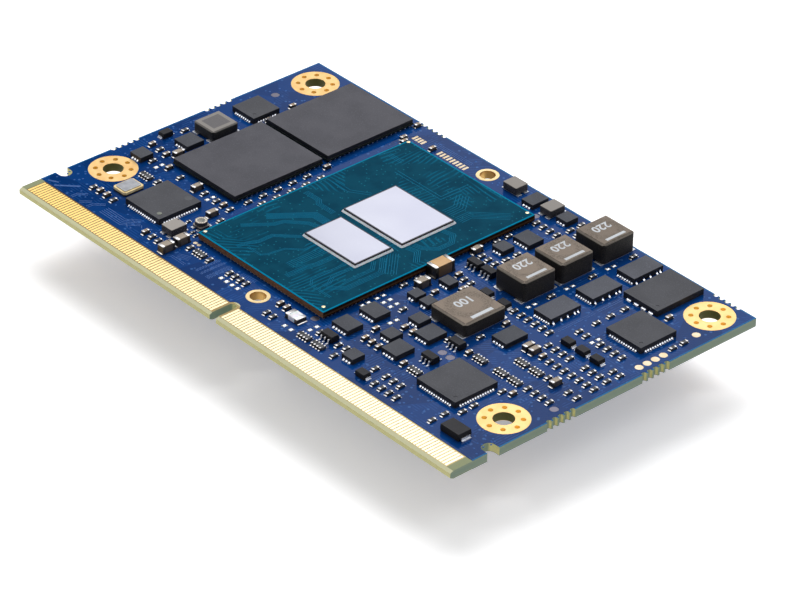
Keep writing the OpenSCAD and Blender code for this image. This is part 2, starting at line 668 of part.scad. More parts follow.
module bare_lands() {
    color("#e4e8ee") on_top(lands_top, laminate_top_z) block([land_size.x, land_size.y, tinned_t]);
}

// The outer rows of balls under a package, counted from its size and pitch
module ball_frame(w, d, pitch, rows) {
    nx = floor((w - ball_d) / pitch);
    ny = floor((d - ball_d) / pitch);
    for (i = [0:nx], j = [0:ny])
        if (min(i, j, nx - i, ny - j) < rows)
            translate([(i - nx / 2) * pitch, (j - ny / 2) * pitch, 0])
                cylinder(d = ball_d, h = ball_h, $fn = tiny_fn);
}

module processor_carrier() {
    color("#155a70") at_top([cpu_at]) block([cpu_w, cpu_d, cpu_t], ball_h);
}

module processor_balls() {
    color("#b9bcc2") at_top([cpu_at]) ball_frame(cpu_w, cpu_d, cpu_ball_pitch, 1);
}

module die(i) {
    color("#d9dbe8") at_top([cpu_at]) translate([dies[i][0].x, dies[i][0].y, 0])
        block([dies[i][1].x, dies[i][1].y, die_t], ball_h + cpu_t);
}

module die_large() {
    die(0);
}

module die_small() {
    die(1);
}

// A bead with sloped sides and round corners around each die
module die_underfill() {
    color("#e9e9f2") at_top([cpu_at]) for (d = dies)
        translate([d[0].x, d[0].y, ball_h + cpu_t]) difference() {
            hull() {
                bead_slice(d[1], underfill_spread, 0);
                bead_slice(d[1], underfill_top, underfill_h - slice_t);
            }
            block([d[1].x, d[1].y, underfill_h + cut], -cut / 2);
        }
}

// A thin slice of the bead that reaches past the die on all sides
module bead_slice(die_size, reach, z) {
    for (x = [-1, 1], y = [-1, 1])
        translate([x * die_size.x / 2, y * die_size.y / 2, z]) cylinder(r = reach, h = slice_t, $fn = 24);
}

// The stacked carrier and moulding of a ball-grid package
module package_carrier(w, d) {
    block([w, d, carrier_t], ball_h);
}

module package_moulding(w, d) {
    block([w - 2 * mould_step, d - 2 * mould_step, mould_t], ball_h + carrier_t);
}

module memory_top_carriers() {
    color("#1d2a24") at_top(memory_places) package_carrier(memory_w, memory_d);
}

module memory_top_mouldings() {
    color("#4c4c50") at_top(memory_places) package_moulding(memory_w, memory_d);
}

module memory_top_balls() {
    color("#b9bcc2") at_top(memory_places) ball_frame(memory_w, memory_d, ball_pitch, 1);
}

module memory_under_carriers() {
    color("#1d2a24") on_underside(memory_places) package_carrier(memory_w, memory_d);
}

module memory_under_mouldings() {
    color("#4c4c50") on_underside(memory_places) package_moulding(memory_w, memory_d);
}

module memory_under_balls() {
    color("#b9bcc2") on_underside(memory_places) ball_frame(memory_w, memory_d, ball_pitch, 1);
}

module storage_carrier() {
    color("#1d2a24") on_underside([storage_at]) package_carrier(storage_size.x, storage_size.y);
}

module storage_moulding() {
    color("#3f3f43") on_underside([storage_at]) package_moulding(storage_size.x, storage_size.y);
}

module storage_balls() {
    color("#b9bcc2") on_underside([storage_at]) ball_frame(storage_size.x, storage_size.y, ball_pitch, 1);
}

// A solder toe along +Y, with its back on the package wall
module toe(x, wall_y, pitch, h = toe_h) {
    toe_w = pitch * contact_share;
    translate([x - toe_w / 2, wall_y, 0]) rotate([90, 0, 90])
        linear_extrude(toe_w) polygon([[0, 0], [toe_l, 0], [toe_l, solder_edge_h], [0, h]]);
}

// One row of toes, centred on the wall
module toe_row(wall_y, pitch, count) {
    for (i = [0:count - 1]) toe((i - (count - 1) / 2) * pitch, wall_y, pitch);
}

// As many contacts as fit along a side between its corner margins
function contact_count(side, pitch, margin) = 1 + floor((side - 2 * margin) / pitch);

// Toes on the two sides across Y
module end_toes(size, pitch, margin) {
    for (turn = [0, 180]) rotate(turn) toe_row(size.y / 2, pitch, contact_count(size.x, pitch, margin));
}

// Toes on all four sides
module all_toes(size) {
    end_toes(size, fine_pitch, contact_margin);
    rotate(90) end_toes([size.y, size.x], fine_pitch, contact_margin);
}

// A sawn leadless body with square walls
module leadless_body(size, h) {
    block([size.x, size.y, h]);
}

// A large leadless body with the dimple that marks its first contact
module marked_body(size, h) {
    difference() {
        leadless_body(size, h);
        translate([size.x / 2 - dimple_inset, -size.y / 2 + dimple_inset, h - dimple_depth])
            cylinder(d = dimple_d, h = dimple_depth + cut, $fn = tiny_fn * 2);
    }
}

module controller_left() {
    color("#424347") on_top([controller_left_at]) marked_body([controller_w, controller_w], package_h);
}

module controller_left_toes() {
    color("#c9ccd2") on_top([controller_left_at]) all_toes([controller_w, controller_w]);
}

module controller_right() {
    color("#424347") on_top([controller_right_at]) marked_body([controller_w, controller_w], package_h);
}

module controller_right_toes() {
    color("#c9ccd2") on_top([controller_right_at]) all_toes([controller_w, controller_w]);
}

module codec() {
    color("#5a5c62") on_top([codec_at]) marked_body([codec_w, codec_w], package_h);
}

module codec_toes() {
    color("#c9ccd2") on_top([codec_at]) all_toes([codec_w, codec_w]);
}

module bridge() {
    color("#4a4a4e") on_top([bridge_at]) marked_body([bridge_w, bridge_w], package_h);
}

module bridge_toes() {
    color("#c9ccd2") on_top([bridge_at]) all_toes([bridge_w, bridge_w]);
}

module boot_flash() {
    color("#5f6167") on_top([flash_at]) marked_body(flash_size, package_h);
}

module boot_flash_toes() {
    color("#c9ccd2") on_top([flash_at]) end_toes(flash_size, flash_pitch, flash_margin);
}

module power_stages() {
    color("#66686e") on_top(stage_places) leadless_body(stage_size, package_h);
}

// A power stage has a full row on its short walls and a few tall contacts on its long ones
module power_stage_toes() {
    color("#c9ccd2") on_top(stage_places) {
        end_toes(stage_size, fine_pitch, stage_margin);
        for (side = [0, 1], y = stage_flanks)
            mirror([side, 0, 0]) rotate(-90) toe(-y, stage_size.x / 2, fine_pitch, stage_flank_h);
    }
}

module small_packages() {
    color("#55565b") {
        for (s = small_packages_top) on_top([s[1]]) leadless_body(s[0], small_ic_h);
        for (s = small_packages_under) on_underside([s[1]]) leadless_body(s[0], small_ic_h);
    }
}

module small_package_toes() {
    color("#c9ccd2") {
        for (s = small_packages_top) on_top([s[1]]) end_toes(s[0], small_pitch, small_margin);
        for (s = small_packages_under) on_underside([s[1]]) end_toes(s[0], small_pitch, small_margin);
    }
}

// The moulded body of a six-lead package, widest at its parting line
module sot_body() {
    mid = sot_size.z / 2;
    wide = sot_size.y / 2;
    narrow = wide - sot_draft;
    translate([-sot_size.x / 2, 0, 0]) rotate([90, 0, 90]) linear_extrude(sot_size.x) polygon([
        [-narrow, sot_base], [narrow, sot_base], [wide, mid], [wide, mid + sot_lead_t],
        [narrow, sot_size.z], [-narrow, sot_size.z], [-wide, mid + sot_lead_t], [-wide, mid]
    ]);
}

// A gull-wing lead: out of the body, down, and flat along the board
module gull_lead() {
    wall = sot_size.y / 2;
    mid = sot_size.z / 2;
    knee = wall + sot_reach * knee_share;
    heel = wall + sot_reach * heel_share;
    tip = wall + sot_reach;
    back = sot_lead_t * bend_share;
    translate([-sot_lead_w / 2, 0, 0]) rotate([90, 0, 90]) linear_extrude(sot_lead_w) polygon([
        [wall, mid + sot_lead_t], [knee, mid + sot_lead_t], [heel, sot_lead_t], [tip, sot_lead_t], [tip, 0],
        [heel - back, 0], [knee - back, mid], [wall, mid]
    ]);
}

module six_lead_packages() {
    color("#2e2f33") on_top(sot_places) sot_body();
}

module six_lead_legs() {
    color("#c9ccd2") on_top(sot_places) for (turn = [0, 180], i = [-1, 0, 1])
        rotate(turn) translate([i * sot_pitch, 0, 0]) gull_lead();
}

// A rounded square in plan
module rounded_plan(w, d, r) {
    square([w - 2 * r, d], center = true);
    square([w, d - 2 * r], center = true);
    for (x = [-1, 1], y = [-1, 1])
        translate([x * (w / 2 - r), y * (d / 2 - r)]) circle(r = r, $fn = tiny_fn * 2);
}

// A moulded coil with round corners and a bevel around its top, above its terminals
module coil_core(size, r, bevel) {
    difference() {
        translate([0, 0, terminal_t]) linear_extrude(size.z - terminal_t) rounded_plan(size.x, size.y, r);
        for (turn = [0, 90, 180, 270]) rotate(turn) {
            reach = (turn % 180 == 0 ? size.y : size.x) / 2;
            translate([-size.x - size.y, reach, size.z]) rotate([90, 0, 90])
                linear_extrude(2 * (size.x + size.y))
                    polygon([[-bevel, cut], [cut, cut], [cut, -bevel - cut], [0, -bevel], [-bevel, 0]]);
        }
    }
}

// The two flat terminals under a coil, which show at the sides across Y
module coil_terminals(size, width) {
    for (side = [-1, 1])
        translate([side * (size.x / 2 - width / 2 - terminal_inset), 0, 0])
            block([width, size.y + 2 * terminal_out, terminal_t]);
}

module power_coils() {
    color("#85786a") on_top(coil_places) coil_core(coil_size, coil_corner_r, coil_bevel);
}

module power_coil_terminals() {
    color("#c4c6ca") on_top(coil_places) coil_terminals(coil_size, coil_terminal_w);
}

module flat_coil() {
    color("#988a79") on_top([flat_coil_at]) coil_core(flat_coil_size, coil_corner_r, coil_bevel);
}

module flat_coil_terminals() {
    color("#c4c6ca") on_top([flat_coil_at]) coil_terminals(flat_coil_size, flat_terminal_w);
}

module side_coil() {
    color("#7d7b78") on_top([side_coil_at]) coil_core(side_coil_size, side_coil_corner_r, side_coil_bevel);
}

module side_coil_terminals() {
    color("#c4c6ca") on_top([side_coil_at]) coil_terminals(side_coil_size, side_terminal_w);
}

// Three moulded coils and the one with an eight-sided cap
module small_coils() {
    color("#8f8983") {
        on_top(small_coil_places) coil_core(small_coil_size, small_coil_corner_r, small_coil_bevel);
        on_top([drum_coil_at]) drum_core();
    }
}

// A ferrite core: a square foot with cut corners, a round neck and an eight-sided cap
module drum_core() {
    side = drum_coil_size[0];
    h = drum_coil_size[1];
    foot_z = h * drum_foot_share;
    cap_z = h * drum_cap_start;
    translate([0, 0, terminal_t]) linear_extrude(foot_z - terminal_t) intersection() {
        square(side, center = true);
        rotate(45) square(side * drum_cut_share, center = true);
    }
    translate([0, 0, terminal_t]) cylinder(d = side * drum_neck_share, h = cap_z, $fn = curve_fn);
    translate([0, 0, cap_z]) rotate(180 / drum_sides)
        cylinder(d = side * drum_cap_share / cos(180 / drum_sides), h = h - cap_z, $fn = drum_sides);
}

module small_coil_terminals() {
    color("#c4c6ca") {
        on_top(small_coil_places) coil_terminals(small_coil_size, small_terminal_w);
        on_top([drum_coil_at])
            coil_terminals([drum_coil_size[0], drum_coil_size[0]], drum_terminal_w);
    }
}

// The crystal's ceramic base, with a quarter-round castellation at each corner
module crystal_base() {
    color("#d9b56d") on_top([crystal_at]) linear_extrude(crystal_size.z - crystal_lid_t) difference() {
        square([crystal_size.x, crystal_size.y], center = true);
        for (x = [-1, 1], y = [-1, 1])
            translate([x * crystal_size.x / 2, y * crystal_size.y / 2])
                circle(r = castellation_r, $fn = tiny_fn * 2);
    }
}

module crystal_lid() {
    color("#b5b7bd") on_top([crystal_at]) translate([0, 0, crystal_size.z - crystal_lid_t])
        linear_extrude(crystal_lid_t)
            rounded_plan(crystal_size.x - 2 * crystal_rim, crystal_size.y - 2 * crystal_rim, lid_corner_r);
}

// The ceramic middle of a two-ended chip part, between its metal ends
module chip_block(size, share = end_share) {
    middle_l = size.x * (1 - 2 * share);
    block([middle_l, size.y, size.z - chip_lift], chip_lift);
}

// The two metal ends of a chip part, each with its solder fillet
module chip_ends(size, share = end_share) {
    inner = size.x * (0.5 - share);
    tip = size.x / 2 + fillet_l;
    for (turn = [0, 180]) rotate(turn) translate([0, size.y / 2 + end_wrap, 0]) rotate([90, 0, 0])
        linear_extrude(size.y + 2 * end_wrap) polygon([
            [inner, 0], [tip, 0], [tip, solder_edge_h], [size.x / 2, size.z * fillet_climb],
            [size.x / 2, size.z + end_wrap], [inner, size.z + end_wrap]
        ]);
}

module lamp_body() {
    color("#f4f5f7") on_top([lamp_at]) chip_block(lamp_size);
}

module lamp_ends() {
    color("#d5d8de") on_top([lamp_at]) chip_ends(lamp_size);
}

module capacitor_blocks() {
    color("#a08a6c") {
        on_top(capacitors_top) chip_block(capacitor_size);
        on_underside(capacitors_under) chip_block(capacitor_size);
    }
}

module capacitor_ends() {
    color("#d5d8de") {
        on_top(capacitors_top) chip_ends(capacitor_size);
        on_underside(capacitors_under) chip_ends(capacitor_size);
    }
}

module large_capacitor_blocks() {
    color("#b08c60") {
        on_top(medium_top) chip_block(medium_size, wide_end_share);
        on_top(large_top) chip_block(large_size, wide_end_share);
        on_top(bulk_top) chip_block(bulk_size, bulk_end_share);
        on_underside(medium_under) chip_block(medium_size, wide_end_share);
    }
}

module large_capacitor_ends() {
    color("#d5d8de") {
        on_top(medium_top) chip_ends(medium_size, wide_end_share);
        on_top(large_top) chip_ends(large_size, wide_end_share);
        on_top(bulk_top) chip_ends(bulk_size, bulk_end_share);
        on_underside(medium_under) chip_ends(medium_size, wide_end_share);
    }
}

// An array is one block with pairs of ends on its long sides
module array_block() {
    block([array_size.x, array_size.y - 2 * array_end_l, array_size.z]);
}

module array_ends() {
    pitch = array_size.x / array_ways;
    end_w = pitch * array_end_share;
    for (turn = [0, 180]) rotate(turn) for (i = [0:array_ways - 1])
        translate([(i - (array_ways - 1) / 2) * pitch - end_w / 2, array_size.y / 2 - array_end_l, 0])
            rotate([90, 0, 90]) linear_extrude(end_w) polygon([
                [0, 0], [array_end_l + fillet_l, 0], [array_end_l + fillet_l, solder_edge_h],
                [array_end_l, array_size.z], [0, array_size.z]
            ]);
}

module resistor_blocks() {
    color("#26272b") {
        on_top(resistors_top) chip_block(resistor_size);
        on_underside(resistors_under) chip_block(resistor_size);
        on_top(tiny_resistors_top) chip_block(tiny_size);
        on_top(arrays_top) array_block();
    }
}

module resistor_ends() {
    color("#d5d8de") {
        on_top(resistors_top) chip_ends(resistor_size);
        on_underside(resistors_under) chip_ends(resistor_size);
        on_top(tiny_resistors_top) chip_ends(tiny_size);
        on_top(arrays_top) array_ends();
    }
}

// A moulded diode body with drafted ends, standing between its flat terminals
module diode_body(size) {
    shoulder = size.z * diode_shoulder;
    inner = size.x / 2 - diode_draft;
    translate([0, size.y / 2, 0]) rotate([90, 0, 0]) linear_extrude(size.y) polygon([
        [-inner, 0], [inner, 0], [size.x / 2, shoulder],
        [inner, size.z], [-inner, size.z], [-size.x / 2, shoulder]
    ]);
}

// Terminals that climb the drafted ends and end in a flat foot
module diode_feet(size) {
    shoulder = size.z * diode_shoulder;
    foot_w = size.y * foot_share;
    wall = size.x / 2;
    for (turn = [0, 180]) rotate(turn) translate([0, foot_w / 2, 0]) rotate([90, 0, 0]) linear_extrude(foot_w)
        polygon([
            [wall - diode_draft, 0], [wall + diode_foot, 0], [wall + diode_foot, diode_strap_t],
            [wall + diode_strap_t, diode_strap_t], [wall + diode_strap_t, shoulder], [wall, shoulder]
        ]);
}

module diode_bodies() {
    color("#2b2b2e") {
        on_top(diodes_top) diode_body(diode_size);
        on_top([large_diode_at]) diode_body(large_diode_size);
    }
}

module diode_terminals() {
    color("#c9ccd2") {
        on_top(diodes_top) diode_feet(diode_size);
        on_top([large_diode_at]) diode_feet(large_diode_size);
    }
}

board_laminate();
mask_film_top();
mask_film_under();
contacts_top();
contacts_under();
mounting_rings();
plated_sleeves();
test_points();
bare_lands();
processor_carrier();
processor_balls();
die_large();
die_small();
die_underfill();
memory_top_carriers();
memory_top_mouldings();
memory_top_balls();
memory_under_carriers();
memory_under_mouldings();
memory_under_balls();
storage_carrier();
storage_moulding();
storage_balls();
controller_left();
controller_left_toes();
controller_right();
controller_right_toes();
codec();
codec_toes();
bridge();
bridge_toes();
boot_flash();
boot_flash_toes();
power_stages();
power_stage_toes();
small_packages();
small_package_toes();
six_lead_packages();
six_lead_legs();
power_coils();
power_coil_terminals();
flat_coil();
flat_coil_terminals();
side_coil();
side_coil_terminals();
small_coils();
small_coil_terminals();
crystal_base();
crystal_lid();
lamp_body();
lamp_ends();
capacitor_blocks();
capacitor_ends();
large_capacitor_blocks();
large_capacitor_ends();
resistor_blocks();
resistor_ends();
diode_bodies();
diode_terminals();
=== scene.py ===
"""The look of an edge-connector computer module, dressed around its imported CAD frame.

The CAD gives every solid its place. This script gives each one its finish, softens the edges of the
packages, models the solder and the chip ends, and adds the traces, vias and printed marks.
Sizes in the classes are millimetres, meshes are metres. Board places are measured in millimetres from
the board's left end and its contact edge, seen from above.
"""

import json
import logging
import math
from collections.abc import Callable, Iterable, Iterator
from contextlib import contextmanager
from dataclasses import dataclass
from enum import Enum
from functools import cache, reduce

import bmesh
import bpy
import numpy as np
from mathutils import Matrix, Vector


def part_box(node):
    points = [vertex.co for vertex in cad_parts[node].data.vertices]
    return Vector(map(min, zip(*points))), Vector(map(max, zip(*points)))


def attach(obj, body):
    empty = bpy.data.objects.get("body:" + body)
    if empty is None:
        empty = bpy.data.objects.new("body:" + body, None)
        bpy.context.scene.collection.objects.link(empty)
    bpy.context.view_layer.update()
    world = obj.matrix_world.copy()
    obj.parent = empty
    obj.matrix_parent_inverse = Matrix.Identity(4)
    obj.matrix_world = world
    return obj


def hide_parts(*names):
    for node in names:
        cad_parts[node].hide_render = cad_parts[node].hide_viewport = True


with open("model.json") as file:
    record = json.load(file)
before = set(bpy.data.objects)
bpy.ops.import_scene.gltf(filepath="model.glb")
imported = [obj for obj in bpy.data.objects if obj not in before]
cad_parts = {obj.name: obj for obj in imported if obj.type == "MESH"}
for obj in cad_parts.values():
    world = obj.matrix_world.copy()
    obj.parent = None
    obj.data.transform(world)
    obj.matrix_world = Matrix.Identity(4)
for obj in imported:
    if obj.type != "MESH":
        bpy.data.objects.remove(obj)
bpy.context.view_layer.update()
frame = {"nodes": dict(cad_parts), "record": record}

log = logging.getLogger("module_scene")

MM = 0.001
WELD = 1e-6
SEED = 41

# The part of a noise's range that parts two tones, and the part over which one tone drifts into another
MIDDLE = (0.35, 0.65)
DRIFT = (0.3, 0.7)

Color = tuple[float, float, float, float]
Place = tuple[float, float]
Span = tuple[float, float]
Socket = bpy.types.NodeSocket


def tint(code: str) -> Color:
    """Turns a hex screen colour into linear light.

    Args:
        code: A colour such as "#0b3f7d".

    Returns:
        Red, green, blue and an alpha of 1. Each channel c above 0.04 becomes ((c + 0.055) / 1.055) ^ 2.4.
    """
    channels = [int(code[i : i + 2], 16) / 255 for i in (1, 3, 5)]
    linear = [c / 12.92 if c <= 0.04045 else ((c + 0.055) / 1.055) ** 2.4 for c in channels]
    return (linear[0], linear[1], linear[2], 1.0)


class Face(Enum):
    """The two faces of the board."""

    TOP = 1
    UNDER = -1


@dataclass(frozen=True)
class Board:
    """The board's own corners and mask heights, read from the frame, in metres."""

    low: Vector
    high: Vector
    mask_top: float
    mask_under: float

    @classmethod
    def from_frame(cls) -> "Board":
        """Reads the laminate's box and the outer faces of the two mask films."""
        low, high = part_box("board_laminate")
        return cls(low, high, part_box("mask_film_top")[1].z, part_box("mask_film_under")[0].z)

    def middle_z(self) -> float:
        """The height of the laminate's middle plane."""
        return (self.low.z + self.high.z) / 2

    def place(self, points: np.ndarray) -> np.ndarray:
        """Moves board places in millimetres, shape (n, 2), into the frame in metres."""
        return np.asarray(points, float) * MM + np.array([self.low.x, self.low.y])

    def mask_z(self, face: Face) -> float:
        """The outer height of the mask film on one face."""
        return self.mask_top if face is Face.TOP else self.mask_under


BOARD = Board.from_frame()


# Finishes


class Nodes:
    """Writes the nodes of a material or of the world with one short call for each."""

    def __init__(self, tree: bpy.types.NodeTree) -> None:
        """Keeps the tree that the nodes go into."""
        self.tree = tree

    def add(self, kind: str, inputs: dict | None = None, **settings: object) -> bpy.types.Node:
        """Adds a node.

        Args:
            kind: The node's type without its ShaderNode prefix.
            inputs: Values, hex colours or sockets by input name or index.
            **settings: Properties of the node.

        Returns:
            The new node.
        """
        node = self.tree.nodes.new("ShaderNode" + kind)
        for name, value in settings.items():
            setattr(node, name, value)
        for key, value in (inputs or {}).items():
            self.feed(node.inputs[key], value)
        return node

    def feed(self, socket: Socket, value: object) -> None:
        """Links a socket into an input, or sets the input's own value.

        Args:
            socket: The input.
            value: Another node's output, a number, a vector or a hex colour.
        """
        if isinstance(value, bpy.types.NodeSocket):
            self.tree.links.new(value, socket)
        else:
            socket.default_value = tint(value) if isinstance(value, str) else value

    def math(self, operation: str, *values: object) -> Socket:
        """One arithmetic step."""
        return self.add("Math", dict(enumerate(values)), operation=operation).outputs[0]

    def times(self, *values: object) -> Socket:
        """The product of several values."""
        return reduce(lambda first, second: self.math("MULTIPLY", first, second), values)

    def least(self, *values: object) -> Socket:
        """The smallest of several values."""
        return reduce(lambda first, second: self.math("MINIMUM", first, second), values)

    def length(self, x: Socket, y: Socket) -> Socket:
        """The root of the sum of two squares."""
        return self.math("SQRT", self.math("ADD", self.times(x, x), self.times(y, y)))

    def span(self, value: Socket, low: float, high: float, start: float = 0.0, end: float = 1.0) -> Socket:
        """Goes smoothly from start to end while a value goes from low to high, and holds outside."""
        return self.add("MapRange", {0: value, 1: low, 2: high, 3: start, 4: end},
                        interpolation_type="SMOOTHSTEP").outputs[0]

    def within(self, value: Socket, rise: Span, fall: Span) -> Socket:
        """1 between a rising and a falling span of a value, and 0 outside both."""
        return self.times(self.span(value, *rise), self.span(value, *fall, 1.0, 0.0))

    def mix(self, share: object, first: object, second: object) -> Socket:
        """Mixes two colours by a share of the second."""
        return self.add("Mix", {0: share, 6: first, 7: second}, data_type="RGBA").outputs[2]

    def shade(self, value: Socket, ends: Span, first: object, second: object, most: float = 1.0) -> Socket:
        """Goes from one colour towards another, up to a share, while a value crosses a span."""
        return self.mix(self.span(value, *ends, 0.0, most), first, second)

    def parts(self, vector: Socket) -> tuple[Socket, Socket, Socket]:
        """The three numbers of a vector."""
        out = self.add("SeparateXYZ", {0: vector}).outputs
        return out[0], out[1], out[2]

    def mirrored(self) -> Socket:
        """1 for rays that leave a glossy or a clear surface, and 0 for all others."""
        path = self.add("LightPath").outputs
        return self.math("MAXIMUM", path["Is Glossy Ray"], path["Is Transmission Ray"])

    def in_view(self) -> Socket:
        """1 for rays that the camera sends, and 0 for all others."""
        return self.add("LightPath").outputs["Is Camera Ray"]


class Recipe(Nodes):
    """The nodes of one material around a Principled shader, measured in millimetres."""

    def __init__(self, name: str) -> None:
        """Starts an empty material.

        Args:
            name: The material's name.
        """
        self.material = bpy.data.materials.new(name)
        self.material.use_nodes = True
        super().__init__(self.material.node_tree)
        self.shader = self.tree.nodes["Principled BSDF"]

    def set(self, **inputs: object) -> None:
        """Feeds the shader's inputs, with underscores for the spaces in their names."""
        for name, value in inputs.items():
            self.feed(self.shader.inputs[name.replace("_", " ")], value)

    def bump(self, height: Socket, depth: float, strength: float = 1.0) -> None:
        """Roughens the surface by a height, as deep as so many millimetres."""
        node = self.add("Bump", {"Height": height, "Distance": depth * MM, "Strength": strength})
        self.set(Normal=node.outputs[0])

    def coords(self, centre: Iterable[float] = (0, 0, 0), turn: float = 0.0) -> Socket:
        """Object coordinates in millimetres.

        Args:
            centre: The place in millimetres that becomes their origin.
            turn: How far they are then turned about Z, in radians.

        Returns:
            The coordinates.
        """
        start = self.add("TexCoord").outputs["Object"]
        placed = self.add("Mapping", {"Vector": start, "Scale": (1 / MM, 1 / MM, 1 / MM),
                                      "Location": [-c for c in centre]}).outputs[0]
        if not turn:
            return placed
        return self.add("Mapping", {"Vector": placed, "Rotation": (0, 0, turn)}).outputs[0]

    def stretched(self, upright: float, centre: Iterable[float] = (0, 0, 0)) -> Socket:
        """Object coordinates in millimetres, with the height times a factor."""
        return self.add("Mapping", {"Vector": self.coords(centre), "Scale": (1, 1, upright)}).outputs[0]

    def noise(self, scale: float, detail: float = 2.0, coords: Socket | None = None) -> Socket:
        """A noise value with this many features per millimetre."""
        vector = coords or self.coords()
        return self.add("TexNoise", {"Vector": vector, "Scale": scale, "Detail": detail}).outputs[0]

    def cells(self, per_mm: float) -> bpy.types.Node:
        """A flat cell pattern with this many cells per millimetre."""
        return self.add("TexVoronoi", {"Vector": self.coords(), "Scale": per_mm}, voronoi_dimensions="2D")

    def dots(self, per_mm: float, rim: Span, picked: Span, channel: int) -> Socket:
        """Round dots in the middle of some cells.

        Args:
            per_mm: Cells per millimetre.
            rim: The distances from a cell's middle over which its dot fades.
            picked: The span of a cell's random number over which its dot appears.
            channel: Which of a cell's three random numbers is taken.

        Returns:
            1 on a dot and 0 elsewhere.
        """
        cell = self.cells(per_mm).outputs
        return self.times(self.span(cell["Distance"], *rim, 1.0, 0.0),
                          self.span(self.parts(cell["Color"])[channel], *picked))

    def wave(self, way: Socket, per_mm: float) -> Socket:
        """The sine of a way, with this many waves per millimetre."""
        return self.math("SINE", self.times(way, 2 * math.pi * per_mm))

    def three_ways(self, pick: Socket, lines: Callable[[float], Socket]) -> Socket:
        """Picks one of three directions for the lines of a patch.

        Args:
            pick: The patch's random number. Half of the patches take the first way, a quarter each other.
            lines: Gives the lines at a turn about Z.

        Returns:
            Lines at no turn, at an eighth or at a quarter of a full one.
        """
        straight, slanted, crossing = (lines(turn) for turn in (0.0, math.pi / 4, math.pi / 2))
        return self.shade(pick, (0.74, 0.76), self.shade(pick, (0.49, 0.51), straight, slanted), crossing)

    def facing(self, axis: int) -> Socket:
        """How squarely the surface faces along an axis, from 0 to 1."""
        return self.math("ABSOLUTE", self.parts(self.add("NewGeometry").outputs["Normal"])[axis])

    def faced(self, wall: object, flat: object) -> Socket:
        """One colour on walls, and another on faces that look straight up or down."""
        return self.mix(self.flatness(), wall, flat)

    def flatness(self) -> Socket:
        """1 on faces that look straight up or down, and 0 on walls."""
        return self.span(self.facing(2), 0.55, 0.85)

    def attribute(self, name: str) -> bpy.types.Node:
        """A value that the piece carries on its points."""
        return self.add("Attribute", attribute_name=name)

    def tone(self) -> Socket:
        """The solid's own number from 0 to 1."""
        return self.attribute("tone").outputs["Fac"]

    def plan(self) -> tuple[Socket, Socket, Socket]:
        """The place in the solid, from -1 to 1 along each axis."""
        return self.parts(self.attribute("plan").outputs["Vector"])

    def from_side(self) -> Socket:
        """The distance to the solid's nearest side wall.

        Returns:
            Millimetres: half the solid's size times 1 less the place in it, for the nearer pair of walls.
        """
        half, plan = self.parts(self.attribute("half").outputs["Vector"]), self.plan()
        inward = [self.math("SUBTRACT", 1.0, self.math("ABSOLUTE", place)) for place in plan[:2]]
        return self.least(self.times(half[0], inward[0]), self.times(half[1], inward[1]))

    def inside(self, low: Vector, high: Vector) -> Socket:
        """The distance to the nearest of a box's four side walls.

        Args:
            low: The box's lowest corner in metres.
            high: Its highest corner in metres.

        Returns:
            Millimetres: half the box's size less the way from its middle, for the nearer pair of walls.
        """
        middle, half = (low + high) / 2 / MM, (high - low) / 2 / MM
        place = self.parts(self.coords(middle))
        return self.least(*(self.math("SUBTRACT", half[axis], self.math("ABSOLUTE", place[axis]))
                            for axis in (0, 1)))


